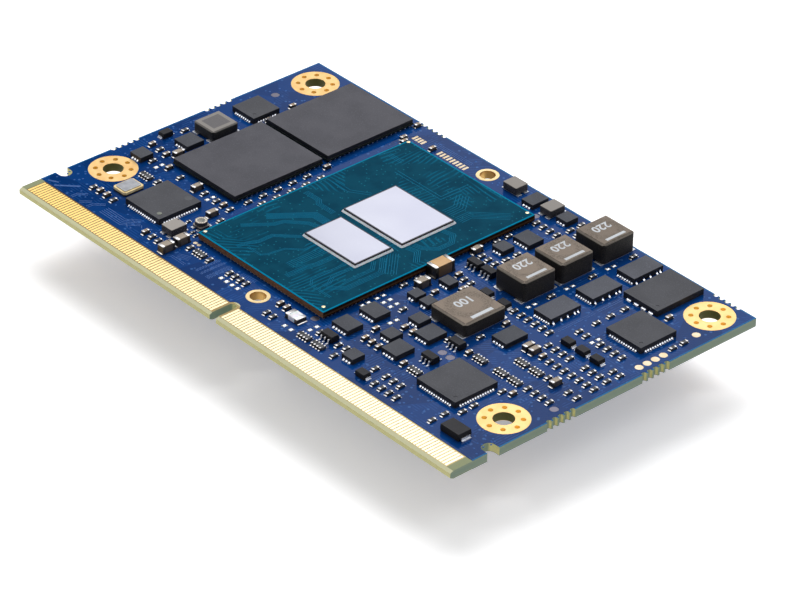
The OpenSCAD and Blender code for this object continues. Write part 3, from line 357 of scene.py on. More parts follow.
@dataclass(frozen=True)
class Laminate:
    """Glass-fibre laminate: milled pale yellow along the contact edge, and grey-green on the sawn walls,
    partly their own colour and partly painted shade.
    """

    name: str = "laminate"
    milled: str = "#fcf5b0"
    sawn_and_shaded: str = "#93a896"
    layer: str = "#8f9a6c"
    face: str = "#c9c7a2"
    bare_strip: str = "#868c6c"
    between_left: str = "#6a5224"
    between_highlit_right: str = "#cdb682"
    hole_shade: str = "#6b6a3c"
    strip_rise: Span = (0.4, 0.5)
    strip_fall: Span = (3.75, 3.85)
    row_margin: float = 0.1
    hole_span: Span = (74.0, 34.0)
    hole_middle_y: float = 29.0
    hole_fade: Span = (1.5, 1.7)
    layers: int = 8

    def make(self) -> bpy.types.Material:
        """Colours walls by the way they look and by height, and the faces by the place on the board.

        Returns:
            The new material.
        """
        r = Recipe(self.name)
        low = BOARD.low / MM
        x, y, height = r.parts(r.coords(low))
        thick = (BOARD.high.z - BOARD.low.z) / MM
        plies = r.math("ADD", r.wave(height, self.layers / thick), r.times(r.noise(3.0, 4.0), 0.6))
        off_middle = r.math("ABSOLUTE", r.math("SUBTRACT", height, thick / 2))
        # Walls that look along X take the grey-green: partly the sawn cut, partly painted shade.
        wall = r.shade(r.facing(0), (0.6, 0.9), self.milled, self.sawn_and_shaded)
        wall = r.shade(plies, (0.85, 1.25), wall, self.layer, 0.35)
        wall = r.shade(off_middle, (0.1, 0.5), wall, self.face, 0.2)
        # Painted shade: the walls beside the mounting holes are darkened.
        wall = r.mix(self.by_hole(r, x, y), wall, self.hole_shade)
        first, last = (corner.x / MM - low.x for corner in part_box("contacts_top"))
        margin = self.row_margin
        in_row = r.within(x, (first - 2 * margin, first - margin), (last + margin, last + 2 * margin))
        # Painted highlight: the gaps between the contacts turn paler towards the row's right end, as the gold
        # does.
        between = r.shade(x, (first, last), self.between_left, self.between_highlit_right)
        strip = r.mix(in_row, self.bare_strip, between)
        face = r.mix(r.within(y, self.strip_rise, self.strip_fall), self.face, strip)
        r.set(Base_Color=r.faced(wall, face), Roughness=0.55, Specular_IOR_Level=0.25)
        r.bump(r.noise(14.0, 3.0), 0.01)
        return r.material

    def by_hole(self, r: Recipe, x: Socket, y: Socket) -> Socket:
        """Finds the walls of the mounting holes.

        Args:
            r: The recipe that the nodes go into.
            x: The place from the board's left end.
            y: The place from its contact edge.

        Returns:
            1 beside a hole and 0 elsewhere, by the distance to the nearest of the four centres.
        """
        middle = ((BOARD.high.x - BOARD.low.x) / 2 / MM, self.hole_middle_y)
        gaps = [r.math("SUBTRACT", r.math("ABSOLUTE", r.math("SUBTRACT", place, centre)), span / 2)
                for place, centre, span in zip((x, y), middle, self.hole_span)]
        return r.span(r.length(*gaps), *self.hole_fade, 1.0, 0.0)


@dataclass(frozen=True)
class SolderMask:
    """Blue solder mask: lighter over copper, with faint routed lines and tiny tented holes."""

    name: str = "solder_mask"
    deep: str = "#00306a"
    pour: str = "#043a7a"
    line: str = "#2458a0"
    hole: str = "#3d6cac"
    rim: str = "#006fa4"
    rim_w: float = 0.16
    rim_blur: float = 0.06
    lines_per_mm: float = 2.4
    holes_per_mm: float = 0.7
    patches_per_mm: float = 0.16

    def make(self) -> bpy.types.Material:
        """Lays copper areas, bundles of lines in patches, and holes over the deep blue.

        Returns:
            The new material.
        """
        r = Recipe(self.name)
        area, way, shown = r.parts(r.cells(self.patches_per_mm).outputs["Color"])
        color = r.shade(area, (0.35, 0.45), self.deep, self.pour)
        lines = r.three_ways(way, lambda turn: r.span(
            r.wave(r.parts(r.coords(turn=turn))[0], self.lines_per_mm), 0.1, 0.7))
        seen = r.times(r.span(shown, 0.4, 0.5), r.span(r.noise(0.7, 1.0), 0.45, 0.55))
        color = r.mix(r.times(seen, lines, 0.45), color, self.line)
        color = r.mix(r.times(r.dots(self.holes_per_mm, (0.1, 0.14), (0.6, 0.65), 0), 0.7), color, self.hole)
        color = r.shade(r.noise(0.08, 2.0), DRIFT, color, self.deep, 0.3)
        inside = r.inside(BOARD.low, BOARD.high)
        color = r.mix(r.span(inside, self.rim_w, self.rim_w + self.rim_blur, 0.75, 0.0), color, self.rim)
        r.set(Base_Color=color, Roughness=r.span(r.noise(1.2, 3.0), *DRIFT, 0.06, 0.1), IOR=1.27)
        r.bump(r.math("ADD", lines, r.noise(5.0, 2.0)), 0.004, 0.4)
        return r.material


@dataclass(frozen=True)
class Plating:
    """A plated or soldered metal with a fine uneven grain, and where one is given, a darker colour for its
    walls as painted shade.
    """

    name: str
    bright: str
    dull: str
    roughness: float = 0.28
    grain_per_mm: float = 4.0
    depth: float = 0.01
    wall: str = ""

    def make(self) -> bpy.types.Material:
        """Varies colour and gloss by two noises.

        Returns:
            The new material.
        """
        r = Recipe(self.name)
        color = r.shade(r.noise(self.grain_per_mm / 6, 3.0), MIDDLE, self.bright, self.dull)
        # Painted shade: walls take the darker wall colour.
        if self.wall:
            color = r.faced(self.wall, color)
        fine = r.noise(self.grain_per_mm, 3.0)
        gloss = r.span(fine, *DRIFT, self.roughness - 0.05, self.roughness + 0.06)
        r.set(Base_Color=color, Metallic=1.0, Roughness=gloss)
        if self.depth:
            r.bump(fine, self.depth, 0.6)
        return r.material


@dataclass(frozen=True)
class ContactGold:
    """Hard gold on the contacts: smooth and bright, with a painted highlight paler towards the row's right
    end, and darker walls as painted shade.
    """

    name: str = "contact_gold"
    left: str = "#ffd888"
    right: str = "#fff3d2"
    shaded_wall_left: str = "#80622a"
    shaded_wall_highlit_right: str = "#e2cb94"
    highlight_along: Span = (4.0, 58.0)

    def make(self) -> bpy.types.Material:
        """Paints a highlight by making the gold's colour paler smoothly along the board.

        Returns:
            The new material.
        """
        r = Recipe(self.name)
        # Painted highlight: the gold and its walls turn paler towards the row's right end. The darker walls
        # are painted shade.
        along = r.span(r.parts(r.coords(BOARD.low / MM))[0], *self.highlight_along)
        face = r.mix(along, self.left, self.right)
        wall = r.mix(along, self.shaded_wall_left, self.shaded_wall_highlit_right)
        scuff = r.span(r.noise(0.8, 3.0), *MIDDLE, 0.38, 0.42)
        r.set(Base_Color=r.faced(wall, face), Metallic=1.0, Roughness=scuff)
        return r.material


@dataclass(frozen=True)
class TestPads:
    """Gold test points, of which a few are dull from their probes."""

    name: str = "test_pads"
    gold: str = "#d8c8b0"
    worn: str = "#d2be9c"
    grey: str = "#757280"
    fade: Span = (1.0, 1.1)
    dull_at: tuple[Place, ...] = (
        (47.5, 9.0), (63.0, 15.8), (64.4, 15.8), (47.4, 45.5), (2.9, 40.0), (80.4, 17.8),
    )

    def make(self) -> bpy.types.Material:
        """Greys the gold within reach of each dull place.

        Returns:
            The new material.
        """
        r = Recipe(self.name)
        flat = r.stretched(0.0, BOARD.low / MM)
        away = [r.add("VectorMath", {0: flat, 1: (*place, 0)}, operation="DISTANCE").outputs["Value"]
                for place in self.dull_at]
        gold = r.shade(r.noise(0.9, 2.0), MIDDLE, self.gold, self.worn)
        color = r.mix(r.span(r.least(*away), *self.fade, 1.0, 0.0), gold, self.grey)
        r.set(Base_Color=color, Metallic=1.0, Roughness=0.36)
        r.bump(r.noise(6.0, 2.0), 0.002, 0.5)
        return r.material


@dataclass(frozen=True)
class PackageBoard:
    """The processor's own board: teal mask with a bright rim, darker islands, dots, and brown sawn walls."""

    name: str = "package_substrate"
    field: str = "#0b4459"
    island: str = "#083c51"
    rim: str = "#007a9e"
    dot: str = "#1f7b93"
    line: str = "#0c6c8e"
    wall: str = "#6e452e"
    wall_line: str = "#8c7358"
    shadow: str = "#120c08"
    rim_w: float = 0.2
    rim_blur: float = 0.06
    lines_per_mm: float = 1.5
    sway: float = 3.2
    dots_per_mm: float = 1.4
    patches_per_mm: float = 0.13

    def make(self) -> bpy.types.Material:
        """Finds the rim by the distance to the package's nearest edge, and bands the walls by height.

        Returns:
            The new material.
        """
        r = Recipe(self.name)
        low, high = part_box("processor_carrier")
        color = r.shade(r.noise(0.35, 4.0), (0.4, 0.62), self.field, self.island)
        way, shown, _ = r.parts(r.cells(self.patches_per_mm).outputs["Color"])
        seen = r.times(r.span(shown, 0.35, 0.4), r.span(r.noise(0.25, 2.0), 0.42, 0.58, 0.0, 0.5))
        lines = r.three_ways(way, lambda turn: self.flow(r, turn))
        color = r.mix(r.times(lines, seen), color, self.line)
        color = r.mix(r.times(r.dots(self.dots_per_mm, (0.1, 0.16), (0.7, 0.75), 1), 0.6), color, self.dot)
        inside = r.inside(low, high)
        color = r.mix(r.span(inside, self.rim_w, self.rim_w + self.rim_blur, 1.0, 0.0), color, self.rim)
        wall = self.sawn_wall(r, low.z / MM, (high.z - low.z) / MM)
        r.set(Base_Color=r.faced(wall, color), Roughness=0.22, IOR=1.06)
        r.bump(r.noise(3.0, 3.0), 0.004, 0.4)
        return r.material

    def flow(self, r: Recipe, turn: float) -> Socket:
        """Gently bent parallel lines: the sine of the way across them, moved by a noise."""
        across = r.math("ADD", r.parts(r.coords(turn=turn))[0], r.times(r.noise(0.12, 1.0), self.sway))
        return r.span(r.wave(across, self.lines_per_mm), 0.2, 0.8)

    def sawn_wall(self, r: Recipe, foot: float, thick: float) -> Socket:
        """Bands the brown walls by height, and darkens those that look along X as painted shade.

        Args:
            r: The recipe that the nodes go into.
            foot: The height of the board's lower face in millimetres.
            thick: Its thickness in millimetres.

        Returns:
            The walls' colour, with the mask's own rim colour at the top.
        """
        height = r.parts(r.coords((0, 0, foot)))[2]
        fibres = r.noise(2.0, 5.0, r.stretched(8.0))
        wall = r.shade(fibres, MIDDLE, self.wall, self.wall_line, 0.6)
        wall = r.mix(r.span(height, 0.1, 0.16, 0.7, 0.0), wall, self.wall_line)
        seam = r.within(height, (0.16, 0.2), (0.4, 0.5))
        dark = r.mix(r.times(seam, 0.35), self.shadow, wall)
        wall = r.shade(r.facing(0), (0.5, 0.9), wall, dark, 0.9)
        return r.shade(height, (thick - 0.08, thick - 0.05), wall, self.rim)


@dataclass(frozen=True)
class Silicon:
    """Polished silicon: a pale mirror above, with a dark saw border and nearly black walls."""

    name: str = "die_silicon"
    mirror: str = "#dcdeee"
    cloud: str = "#d2d4e6"
    border: str = "#3a3a44"
    wall: str = "#0e0d10"
    border_end: Span = (0.14, 0.2)

    def make(self) -> bpy.types.Material:
        """Mixes mirror and wall by the direction of the face, and darkens a border beside the walls.

        Returns:
            The new material.
        """
        r = Recipe(self.name)
        inner = r.span(r.from_side(), *self.border_end)
        clean = r.shade(r.noise(0.12, 1.0), DRIFT, self.mirror, self.cloud)
        top = r.mix(inner, self.border, clean)
        r.set(Base_Color=r.faced(self.wall, top), Metallic=r.times(r.flatness(), inner, 0.7), Roughness=0.12)
        return r.material


@dataclass(frozen=True)
class Resin:
    """A clear-cut resin with a soft glow, as the bead around a die or a lamp's body."""

    name: str
    body: str
    shade: str
    roughness: float = 0.3
    glow_depth: float = 0.3

    def make(self) -> bpy.types.Material:
        """Clouds the body colour a little and lets light in just under the surface.

        Returns:
            The new material.
        """
        r = Recipe(self.name)
        color = r.shade(r.noise(1.5, 3.0), DRIFT, self.body, self.shade)
        r.set(Base_Color=color, Roughness=self.roughness, Subsurface_Weight=0.15,
              Subsurface_Scale=self.glow_depth * MM)
        r.bump(r.noise(5.0, 2.0), 0.01, 0.5)
        return r.material


@dataclass(frozen=True)
class Compound:
    """Moulding compound: fine filler speckle over soft clouds, with walls painted darker as shade."""

    name: str
    top: str
    cloud: str
    wall: str
    speck: str
    roughness: float = 0.55
    speck_per_mm: float = 9.0
    gloss: float = 0.2

    def make(self) -> bpy.types.Material:
        """Mixes clouds and speckle on flat faces, and saw marks over painted shade on walls.

        Returns:
            The new material.
        """
        r = Recipe(self.name)
        fine = r.noise(self.speck_per_mm, 3.0)
        color = r.shade(r.noise(0.25, 3.0), MIDDLE, self.top, self.cloud)
        color = r.shade(fine, (0.52, 0.7), color, self.speck, 0.7)
        saw = r.noise(1.0, 3.0, r.stretched(12.0))
        # Painted shade: the walls start from the dark wall colour.
        wall = r.shade(saw, (0.4, 0.7), self.wall, self.cloud, 0.35)
        r.set(Base_Color=r.faced(wall, color), Specular_IOR_Level=self.gloss,
              Roughness=r.span(fine, *DRIFT, self.roughness - 0.06, self.roughness + 0.08))
        r.bump(fine, 0.008, 0.7)
        return r.material


@dataclass(frozen=True)
class PressedPowder:
    """Pressed iron powder: a mottled ring where the winding lies, a pale border that is partly wear and
    partly a painted highlight, and dark walls.
    """

    name: str
    top: str
    ring: str
    worn: str
    wall: str
    tone_darkening: float = 0.35
    ring_rise: Span = (0.6, 0.75)
    ring_fall: Span = (0.96, 1.11)

    def make(self) -> bpy.types.Material:
        """Draws the ring by the distance from the solid's middle, and the pale border, partly a painted
        highlight, by that from its walls.

        Returns:
            The new material.
        """
        r = Recipe(self.name)
        x, y, _ = r.plan()
        radius = r.math("ADD", r.length(x, y), r.times(r.noise(1.5, 3.0), 0.25))
        ring = r.within(radius, self.ring_rise, self.ring_fall)
        mottle = r.span(r.noise(4.5, 4.0), 0.4, 0.62, 0.05, 0.6)
        color = r.mix(r.times(ring, mottle), self.top, self.ring)
        # The pale border is partly wear and partly a painted highlight on the edges.
        to_wall = r.math("SUBTRACT", r.from_side(), r.times(r.noise(3.0, 4.0), 0.4))
        color = r.mix(r.span(to_wall, -0.1, 0.12, 1.0, 0.0), color, self.worn)
        # Each coil is darkened towards the ring colour by its tone.
        color = r.mix(r.times(r.tone(), self.tone_darkening), color, self.ring)
        grit = r.noise(12.0, 3.0)
        color = r.shade(grit, (0.5, 0.72), color, self.worn, 0.4)
        wall = r.shade(grit, (0.42, 0.72), self.wall, self.ring, 0.55)
        r.set(Base_Color=r.faced(wall, color), Roughness=0.55, Specular_IOR_Level=0.2)
        r.bump(grit, 0.01, 0.6)
        return r.material


@dataclass(frozen=True)
class PlainFerrite:
    """Bare ferrite of the small and the side coil: a lighter frame around a darker field, and dark walls."""

    name: str
    frame: str
    field: str
    wall: str
    frame_w: float
    tone_depth: float
    frame_blur: float = 0.06

    def make(self) -> bpy.types.Material:
        """Sets the field inside the frame's width, and darkens by the solid's tone.

        Returns:
            The new material.
        """
        r = Recipe(self.name)
        inner = (self.frame_w - self.frame_blur, self.frame_w + self.frame_blur)
        color = r.shade(r.from_side(), inner, self.frame, self.field)
        grit = r.noise(9.0, 3.0)
        color = r.shade(grit, (0.5, 0.72), color, self.frame, 0.3)
        color = r.mix(r.times(r.tone(), self.tone_depth), color, self.wall)
        wall = r.shade(grit, (0.45, 0.75), self.wall, self.field, 0.35)
        r.set(Base_Color=r.faced(wall, color), Roughness=0.5, Specular_IOR_Level=0.25)
        r.bump(grit, 0.008, 0.6)
        return r.material


@dataclass(frozen=True)
class GoldRimmedBase:
    """A crystal's ceramic base: cream gold at its rim and upper walls, and a dark painted shadow below."""

    name: str = "crystal_ceramic"
    gold: str = "#f4e0aa"
    worn: str = "#e0c48a"
    dark: str = "#1c1712"
    gold_share: float = 0.42
    blur: float = 0.04

    def make(self) -> bpy.types.Material:
        """Changes from the dark painted shadow to gold at a share of the base's height.

        Returns:
            The new material.
        """
        r = Recipe(self.name)
        low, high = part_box("crystal_base")
        height = r.parts(r.coords((0, 0, low.z / MM)))[2]
        change = (high.z - low.z) / MM * self.gold_share
        gold = r.shade(r.noise(1.5, 3.0), MIDDLE, self.gold, self.worn)
        # Painted shadow: the lower walls take the dark colour.
        color = r.shade(height, (change - self.blur, change + self.blur), self.dark, gold)
        r.set(Base_Color=color, Roughness=0.4, Specular_IOR_Level=0.3)
        r.bump(r.noise(8.0, 2.0), 0.005, 0.5)
        return r.material


@dataclass(frozen=True)
class FiredCeramic:
    """A capacitor's fired body, whose tone differs from part to part, with walls painted darker as shade."""

    name: str
    warm: str
    cool: str
    wall: str = "#14100c"
    wall_shade_share: float = 0.8

    def make(self) -> bpy.types.Material:
        """Picks the colour between warm and cool by the solid's tone, and darkens the walls as painted shade.

        Returns:
            The new material.
        """
        r = Recipe(self.name)
        grain = r.noise(7.0, 3.0)
        color = r.mix(r.tone(), self.warm, self.cool)
        color = r.shade(grain, (0.4, 0.7), color, self.cool, 0.25)
        dark = r.mix(self.wall_shade_share, color, self.wall)
        r.set(Base_Color=r.faced(dark, color), Roughness=0.42)
        r.bump(grain, 0.008, 0.6)
        return r.material


@dataclass(frozen=True)
class GlazedChip:
    """A chip resistor: black glaze above, and shaded alumina at the walls."""

    name: str = "resistor_glaze"
    glaze: str = "#1d1e22"
    pale_glaze: str = "#2f3136"
    wall: str = "#55565a"
    dark_wall: str = "#3a3b40"

    def make(self) -> bpy.types.Material:
        """Makes the glaze paler by the solid's tone, and clouds the walls.

        Returns:
            The new material.
        """
        r = Recipe(self.name)
        top = r.mix(r.times(r.tone(), 0.5), self.glaze, self.pale_glaze)
        wall = r.shade(r.noise(6.0, 2.0), DRIFT, self.wall, self.dark_wall)
        r.set(Base_Color=r.faced(wall, top), Roughness=0.38)
        r.bump(r.noise(8.0, 2.0), 0.006, 0.5)
        return r.material


FINISHES = {coat.name: coat for coat in (
    Laminate(), SolderMask(), ContactGold(), TestPads(), PackageBoard(), Silicon(), GoldRimmedBase(),
    GlazedChip(),
    Plating("pad_gold", "#efc98c", "#e9be7e", 0.38, 3.0, 0.001),
    # The last colour of sleeve_gold and tin_end is painted shade on their walls.
    Plating("sleeve_gold", "#ecd6a8", "#dcc494", 0.36, 1.0, 0.0, "#c8a060"),
    Plating("amber_pit", "#b07c22", "#bd7c14", 0.3, 5.0, 0.004),
    Plating("cream_dot", "#fff0cf", "#f2ddb0", 0.35, 5.0),
    Plating("cream_tin", "#c4beb0", "#a8a294", 0.4, 5.0, 0.004),
    Plating("lid_metal", "#aaacb2", "#999ba1", 0.36, 6.0, 0.004),
    Plating("lead_metal", "#ccced4", "#a8abb3", 0.38, 6.0, 0.006),
    Plating("tin_end", "#dad9da", "#bdbcbe", 0.38, 6.0, 0.006, "#4c4844"),
    Plating("tin_solder", "#e8eaf0", "#cfd2da", 0.3, 6.0, 0.006),
    # The third colour of each Compound is painted shade on its walls.
    Compound("package_trace", "#046c90", "#036286", "#045a74", "#0c7294", 0.42, 3.0, 0.05),
    Compound("raised_trace", "#3c5f9a", "#32558f", "#1c4480", "#4a6ea8", 0.3, 3.0, 0.15),
    Compound("tented_hole", "#1b4f92", "#164888", "#0c3a74", "#2d60a2", 0.3, 3.0, 0.15),
    Compound("dark_substrate", "#16201c", "#101713", "#0f1512", "#23302a", 0.5, 6.0),
    Compound("memory_mould", "#4a4a50", "#424248", "#0d0d0f", "#5c5c63", 0.55, 8.0),
    Compound("controller_mould", "#3c3d42", "#434449", "#111114", "#56575d", 0.5, 7.0),
    Compound("stage_mould", "#46484f", "#4e5058", "#121215", "#62646d", 0.52, 7.0),
    Compound("small_mould", "#3b3d43", "#42444a", "#101013", "#565860", 0.52, 7.0),
    Compound("black_mould", "#202024", "#18181b", "#0a0a0c", "#2e2e33", 0.5, 8.0),
    Compound("mould_mark", "#7c8078", "#70746c", "#4c4f4a", "#8c9088", 0.5, 7.0),
    Compound("faint_mark", "#4e4f53", "#484a4e", "#303134", "#5c5e62", 0.5, 7.0),
    Compound("marking_ink", "#c9cdd2", "#bec2c7", "#a8acb1", "#d4d8dc", 0.55, 9.0),
    Resin("underfill_resin", "#e2e4ea", "#cfd1d8"),
    Resin("lamp_resin", "#f0f1f5", "#dcdee6"),
    Resin("drum_paint", "#8f8b84", "#5f5c58"),
    PressedPowder("coil_ferrite", "#807469", "#4a443e", "#aaa094", "#171615"),
    PlainFerrite("grey_ferrite", "#827e7a", "#5c5a5c", "#1a1a1a", 0.75, 0.0),
    PlainFerrite("small_coil_ferrite", "#a09a95", "#98938e", "#26262a", 0.1, 0.5),
    FiredCeramic("capacitor_ceramic", "#9c8468", "#8a7f74"),
    FiredCeramic("tan_ceramic", "#c69e6c", "#938779", "#2a2012"),
)}


@cache
def finish(name: str) -> bpy.types.Material:
    """The material of that name, made at its first use."""
    return FINISHES[name].make()


# Frame and meshes


def values_of(items: bpy.types.bpy_prop_collection, name: str, each: int = 1,
              kind: type = float) -> np.ndarray:
    """Reads one property of all vertices, edges or corners of a mesh.

    Args:
        items: The mesh's vertices, edges or loops.
        name: The property.
        each: How many numbers it has.
        kind: Their type.

    Returns:
        All numbers in a row.
    """
    values = np.empty(len(items) * each, kind)
    items.foreach_get(name, values)
    return values


def mark_points(mesh: bpy.types.Mesh, name: str, values: np.ndarray) -> None:
    """Adds a number or a vector to each point of a mesh.

    Args:
        mesh: The mesh.
        name: The attribute's name.
        values: One number or one row of three for each point.
    """
    kind, key = ("FLOAT", "value") if values.ndim == 1 else ("FLOAT_VECTOR", "vector")
    mesh.attributes.new(name, kind, "POINT").data.foreach_set(key, values.ravel())


@contextmanager
def opened(mesh: bpy.types.Mesh) -> Iterator[bmesh.types.BMesh]:
    """Opens a mesh for changes, and writes them back at the end.

    Args:
        mesh: The mesh.

    Yields:
        Its working copy.
    """
    work = bmesh.new()
    work.from_mesh(mesh)
    yield work
    work.to_mesh(mesh)
    work.free()


def place_object(name: str, data: bpy.types.ID) -> bpy.types.Object:
    """Adds an object to the scene, at the origin.

    Args:
        name: The object's name.
        data: Its mesh, curve, lamp or camera.

    Returns:
        The object.
    """
    thing = bpy.data.objects.new(name, data)
    bpy.context.scene.collection.objects.link(thing)
    return thing


def spread_labels(count: int, links: np.ndarray) -> np.ndarray:
    """Numbers the connected groups of points.

    Each point starts with its own number. Each link then gives its points the lowest number among them,
    until nothing changes.

    Args:
        count: How many points there are.
        links: Indices of points that hang together, one row for each face or edge.

    Returns:
        The group of each point, counted from 0.
    """
    label = np.arange(count)
    while True:
        lowest = label[links].min(axis=1)
        lower = label.copy()
        np.minimum.at(lower, links.ravel(), np.repeat(lowest, links.shape[1]))
        if np.array_equal(lower, label):
            return np.unique(label, return_inverse=True)[1].reshape(-1)
        label = lower[lower]


def boxes_of(points: np.ndarray, group: np.ndarray) -> tuple[np.ndarray, np.ndarray]:
    """Finds the box around each group of points.

    Args:
        points: All points, shape (n, 3).
        group: The group of each point.

    Returns:
        The lowest and the highest corner of each group.
    """
    low = np.full((group.max() + 1, 3), np.inf)
    high = -low
    np.minimum.at(low, group, points)
    np.maximum.at(high, group, points)
    return low, high


@dataclass(frozen=True)
class Solids:
    """The solids of one CAD node: their boxes, the boxes of their outer ends, and the side they are on."""

    low: np.ndarray
    high: np.ndarray
    end_low: np.ndarray
    end_high: np.ndarray
    up: np.ndarray

    @classmethod
    def read(cls, node: str, outer_share: float = 0.9) -> "Solids":
        """Splits a node's loose triangles into its solids.

        Args:
            node: The CAD node's name.
            outer_share: The share of its height from which a solid's outer end starts.

        Returns:
            One row for each solid.
        """
        mesh = frame["nodes"][node].data
        points = values_of(mesh.vertices, "co", 3).reshape(-1, 3)
        corners = values_of(mesh.loops, "vertex_index", kind=int)
        _, first, weld = np.unique(np.round(points / WELD).astype(np.int64), axis=0,
                                   return_index=True, return_inverse=True)
        points = points[first]
        group = spread_labels(len(points), weld.reshape(-1)[corners.reshape(-1, 3)])
        low, high = boxes_of(points, group)
        up = np.where((low[:, 2] + high[:, 2]) / 2 > BOARD.middle_z(), 1.0, -1.0)
        base = np.where(up > 0, low[:, 2], high[:, 2])
        reach = (points[:, 2] - base[group]) * up[group] / (high - low)[group, 2]
        outer = reach > outer_share
        end_low, end_high = boxes_of(points[outer], group[outer])
        return cls(low, high, end_low, end_high, up)

    @property
    def middle(self) -> np.ndarray:
        """The middle of each solid."""
        return (self.low + self.high) / 2

    @property
    def size(self) -> np.ndarray:
        """The size of each solid along the three axes."""
        return self.high - self.low

    def top_at(self, place: Place) -> float:
        """The top of the solid whose middle is nearest to a board place in millimetres."""
        away = self.middle[:, :2] - BOARD.place(np.array([place]))
        return float(self.high[np.hypot(*away.T).argmin(), 2])


@dataclass(frozen=True)
class Part:
    """A piece of the module: its name, its finish, its slot in the record and the CAD node it stands for."""

    name: str
    material: str
    slot: str
    node: str = ""
    smooth: float = 60.0

    def seat(self, mesh: bpy.types.Mesh) -> bpy.types.Object:
        """Shades a finished mesh, adds it to the scene and hangs it on the frame.

        Args:
            mesh: The piece's mesh. Its edges that are flatter than the smooth angle are shaded smooth.

        Returns:
            The piece, riding on the module's body.
        """
        mesh.materials.clear()
        mesh.materials.append(finish(self.material))
        mesh.shade_smooth()
        mesh.set_sharp_from_angle(angle=math.radians(self.smooth))
        piece = place_object(self.name, mesh)
        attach(piece, "root")
        if self.node:
            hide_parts(self.node)
        log.info("%s: %d faces", self.name, len(mesh.polygons))
        return piece

    def shape(self, points: np.ndarray, faces: list[np.ndarray]) -> bpy.types.Object:
        """Makes the piece from whole arrays.

        Args:
            points: Corners in metres, shape (n, 3).
            faces: Arrays of corner indices, one array for each number of corners.

        Returns:
            The piece.
        """
        mesh = bpy.data.meshes.new(self.name)
        mesh.from_pydata(points.tolist(), [], [row for block in faces for row in block.tolist()])
        with opened(mesh) as work:
            bmesh.ops.recalc_face_normals(work, faces=work.faces)
        return self.seat(mesh)

    def repeat(self, copies: np.ndarray, faces: list[np.ndarray]) -> bpy.types.Object:
        """Makes the piece from many copies of a shape.

        Args:
            copies: Corners of all copies in metres, shape (copies, corners, 3).
            faces: Face arrays of one copy. Each index moves on by one copy's number of corners.

        Returns:
            The piece.
        """
        step = np.arange(copies.shape[0])[:, None, None] * copies.shape[1]
        return self.shape(copies.reshape(-1, 3), [(f[None] + step).reshape(-1, f.shape[1]) for f in faces])


def tube_faces(around: int, along: int) -> list[np.ndarray]:
    """Faces of a closed skin whose corners go round a loop at each station along it.

    Args:
        around: Corners in each loop.
        along: Number of loops.

    Returns:
        The quads between the loops, and the two end faces.
    """
    i, j = np.meshgrid(np.arange(along - 1), np.arange(around), indexing="ij")
    k = (j + 1) % around
    quads = np.stack([i * around + j, i * around + k, (i + 1) * around + k, (i + 1) * around + j], -1)
    first = np.arange(around)
    return [quads.reshape(-1, 4), np.stack([first[::-1], first + (along - 1) * around])]


def turned(centre: np.ndarray, radius: np.ndarray, height: np.ndarray, around: int,
           squareness: float = 0.0) -> tuple[np.ndarray, list[np.ndarray]]:
    """Turns a profile about an upright axis at each centre.

    Each ring's corner lies at the radius times the cosine and the sine of its angle. Both are divided by
    the larger one's size to the power of the squareness.

    Args:
        centre: The axes' places, shape (n, 2).
        radius: The stations' radii along X and Y, in a shape that spreads to (n, stations, 2).
        height: The stations' heights, shape (n, stations).
        around: Corners in each ring.
        squareness: 0 for round rings and 1 for square ones.

    Returns:
        The corners of all copies, shape (n, corners, 3), and the faces of one.
    """
    angle = np.arange(around) * 2 * np.pi / around
    ring = np.stack([np.cos(angle), np.sin(angle)], axis=1)
    ring = ring * np.abs(ring).max(axis=1, keepdims=True) ** -squareness
    points = np.empty((*height.shape, around, 3))
    points[..., :2] = centre[:, None, None] + radius[..., None, :] * ring
    points[..., 2] = height[..., None]
    return points.reshape(len(centre), -1, 3), tube_faces(around, height.shape[1])


# Carried-over solids


@dataclass(frozen=True)
class SoftCopy:
    """A CAD node's solids with softened edges, which stand for that node."""

    node: str
    edge: float
    segments: int = 2
    tones: tuple[float, ...] = ()
    material: str = ""
    flat_within: float = 1.0
    smooth: float = 30.0
    sharp_from: float = 40.0

    def build(self) -> None:
        """Welds the node's triangles, joins level ones, marks the points and bevels the edges."""
        slot = SLOTS[self.node]
        part = Part(self.node + "_soft", self.material or slot, slot, self.node, self.smooth)
        mesh = frame["nodes"][self.node].data.copy()
        mesh.name = part.name
        with opened(mesh) as work:
            bmesh.ops.remove_doubles(work, verts=work.verts, dist=WELD)
            bmesh.ops.dissolve_limit(work, angle_limit=math.radians(self.flat_within), verts=work.verts,
                                     edges=work.edges)
        self.mark(mesh)
        bevel = part.seat(mesh).modifiers.new("soft_edges", "BEVEL")
        bevel.width = self.edge * MM
        bevel.segments = self.segments
        bevel.limit_method = "ANGLE"
        bevel.angle_limit = math.radians(self.sharp_from)
        bevel.harden_normals = True

    def mark(self, mesh: bpy.types.Mesh) -> None:
        """Gives each point its place in its solid from -1 to 1, half the solid's size, and its solid's tone.

        Args:
            mesh: The welded mesh. Stated tones go to its solids in the order of Y, and others are drawn
                from the seed.
        """
        points = values_of(mesh.vertices, "co", 3).reshape(-1, 3)
        group = spread_labels(len(points), values_of(mesh.edges, "vertices", 2, int).reshape(-1, 2))
        low, high = boxes_of(points, group)
        order = np.argsort(np.argsort((low + high)[:, 1]))
        drawn = np.random.default_rng(SEED).random(len(low))
        tone = np.resize(self.tones, len(low))[order] if self.tones else drawn
        size = (high - low)[group]
        mark_points(mesh, "plan", (2 * points - low[group] - high[group]) / size)
        mark_points(mesh, "half", size / 2 / MM)
        mark_points(mesh, "tone", tone[group])


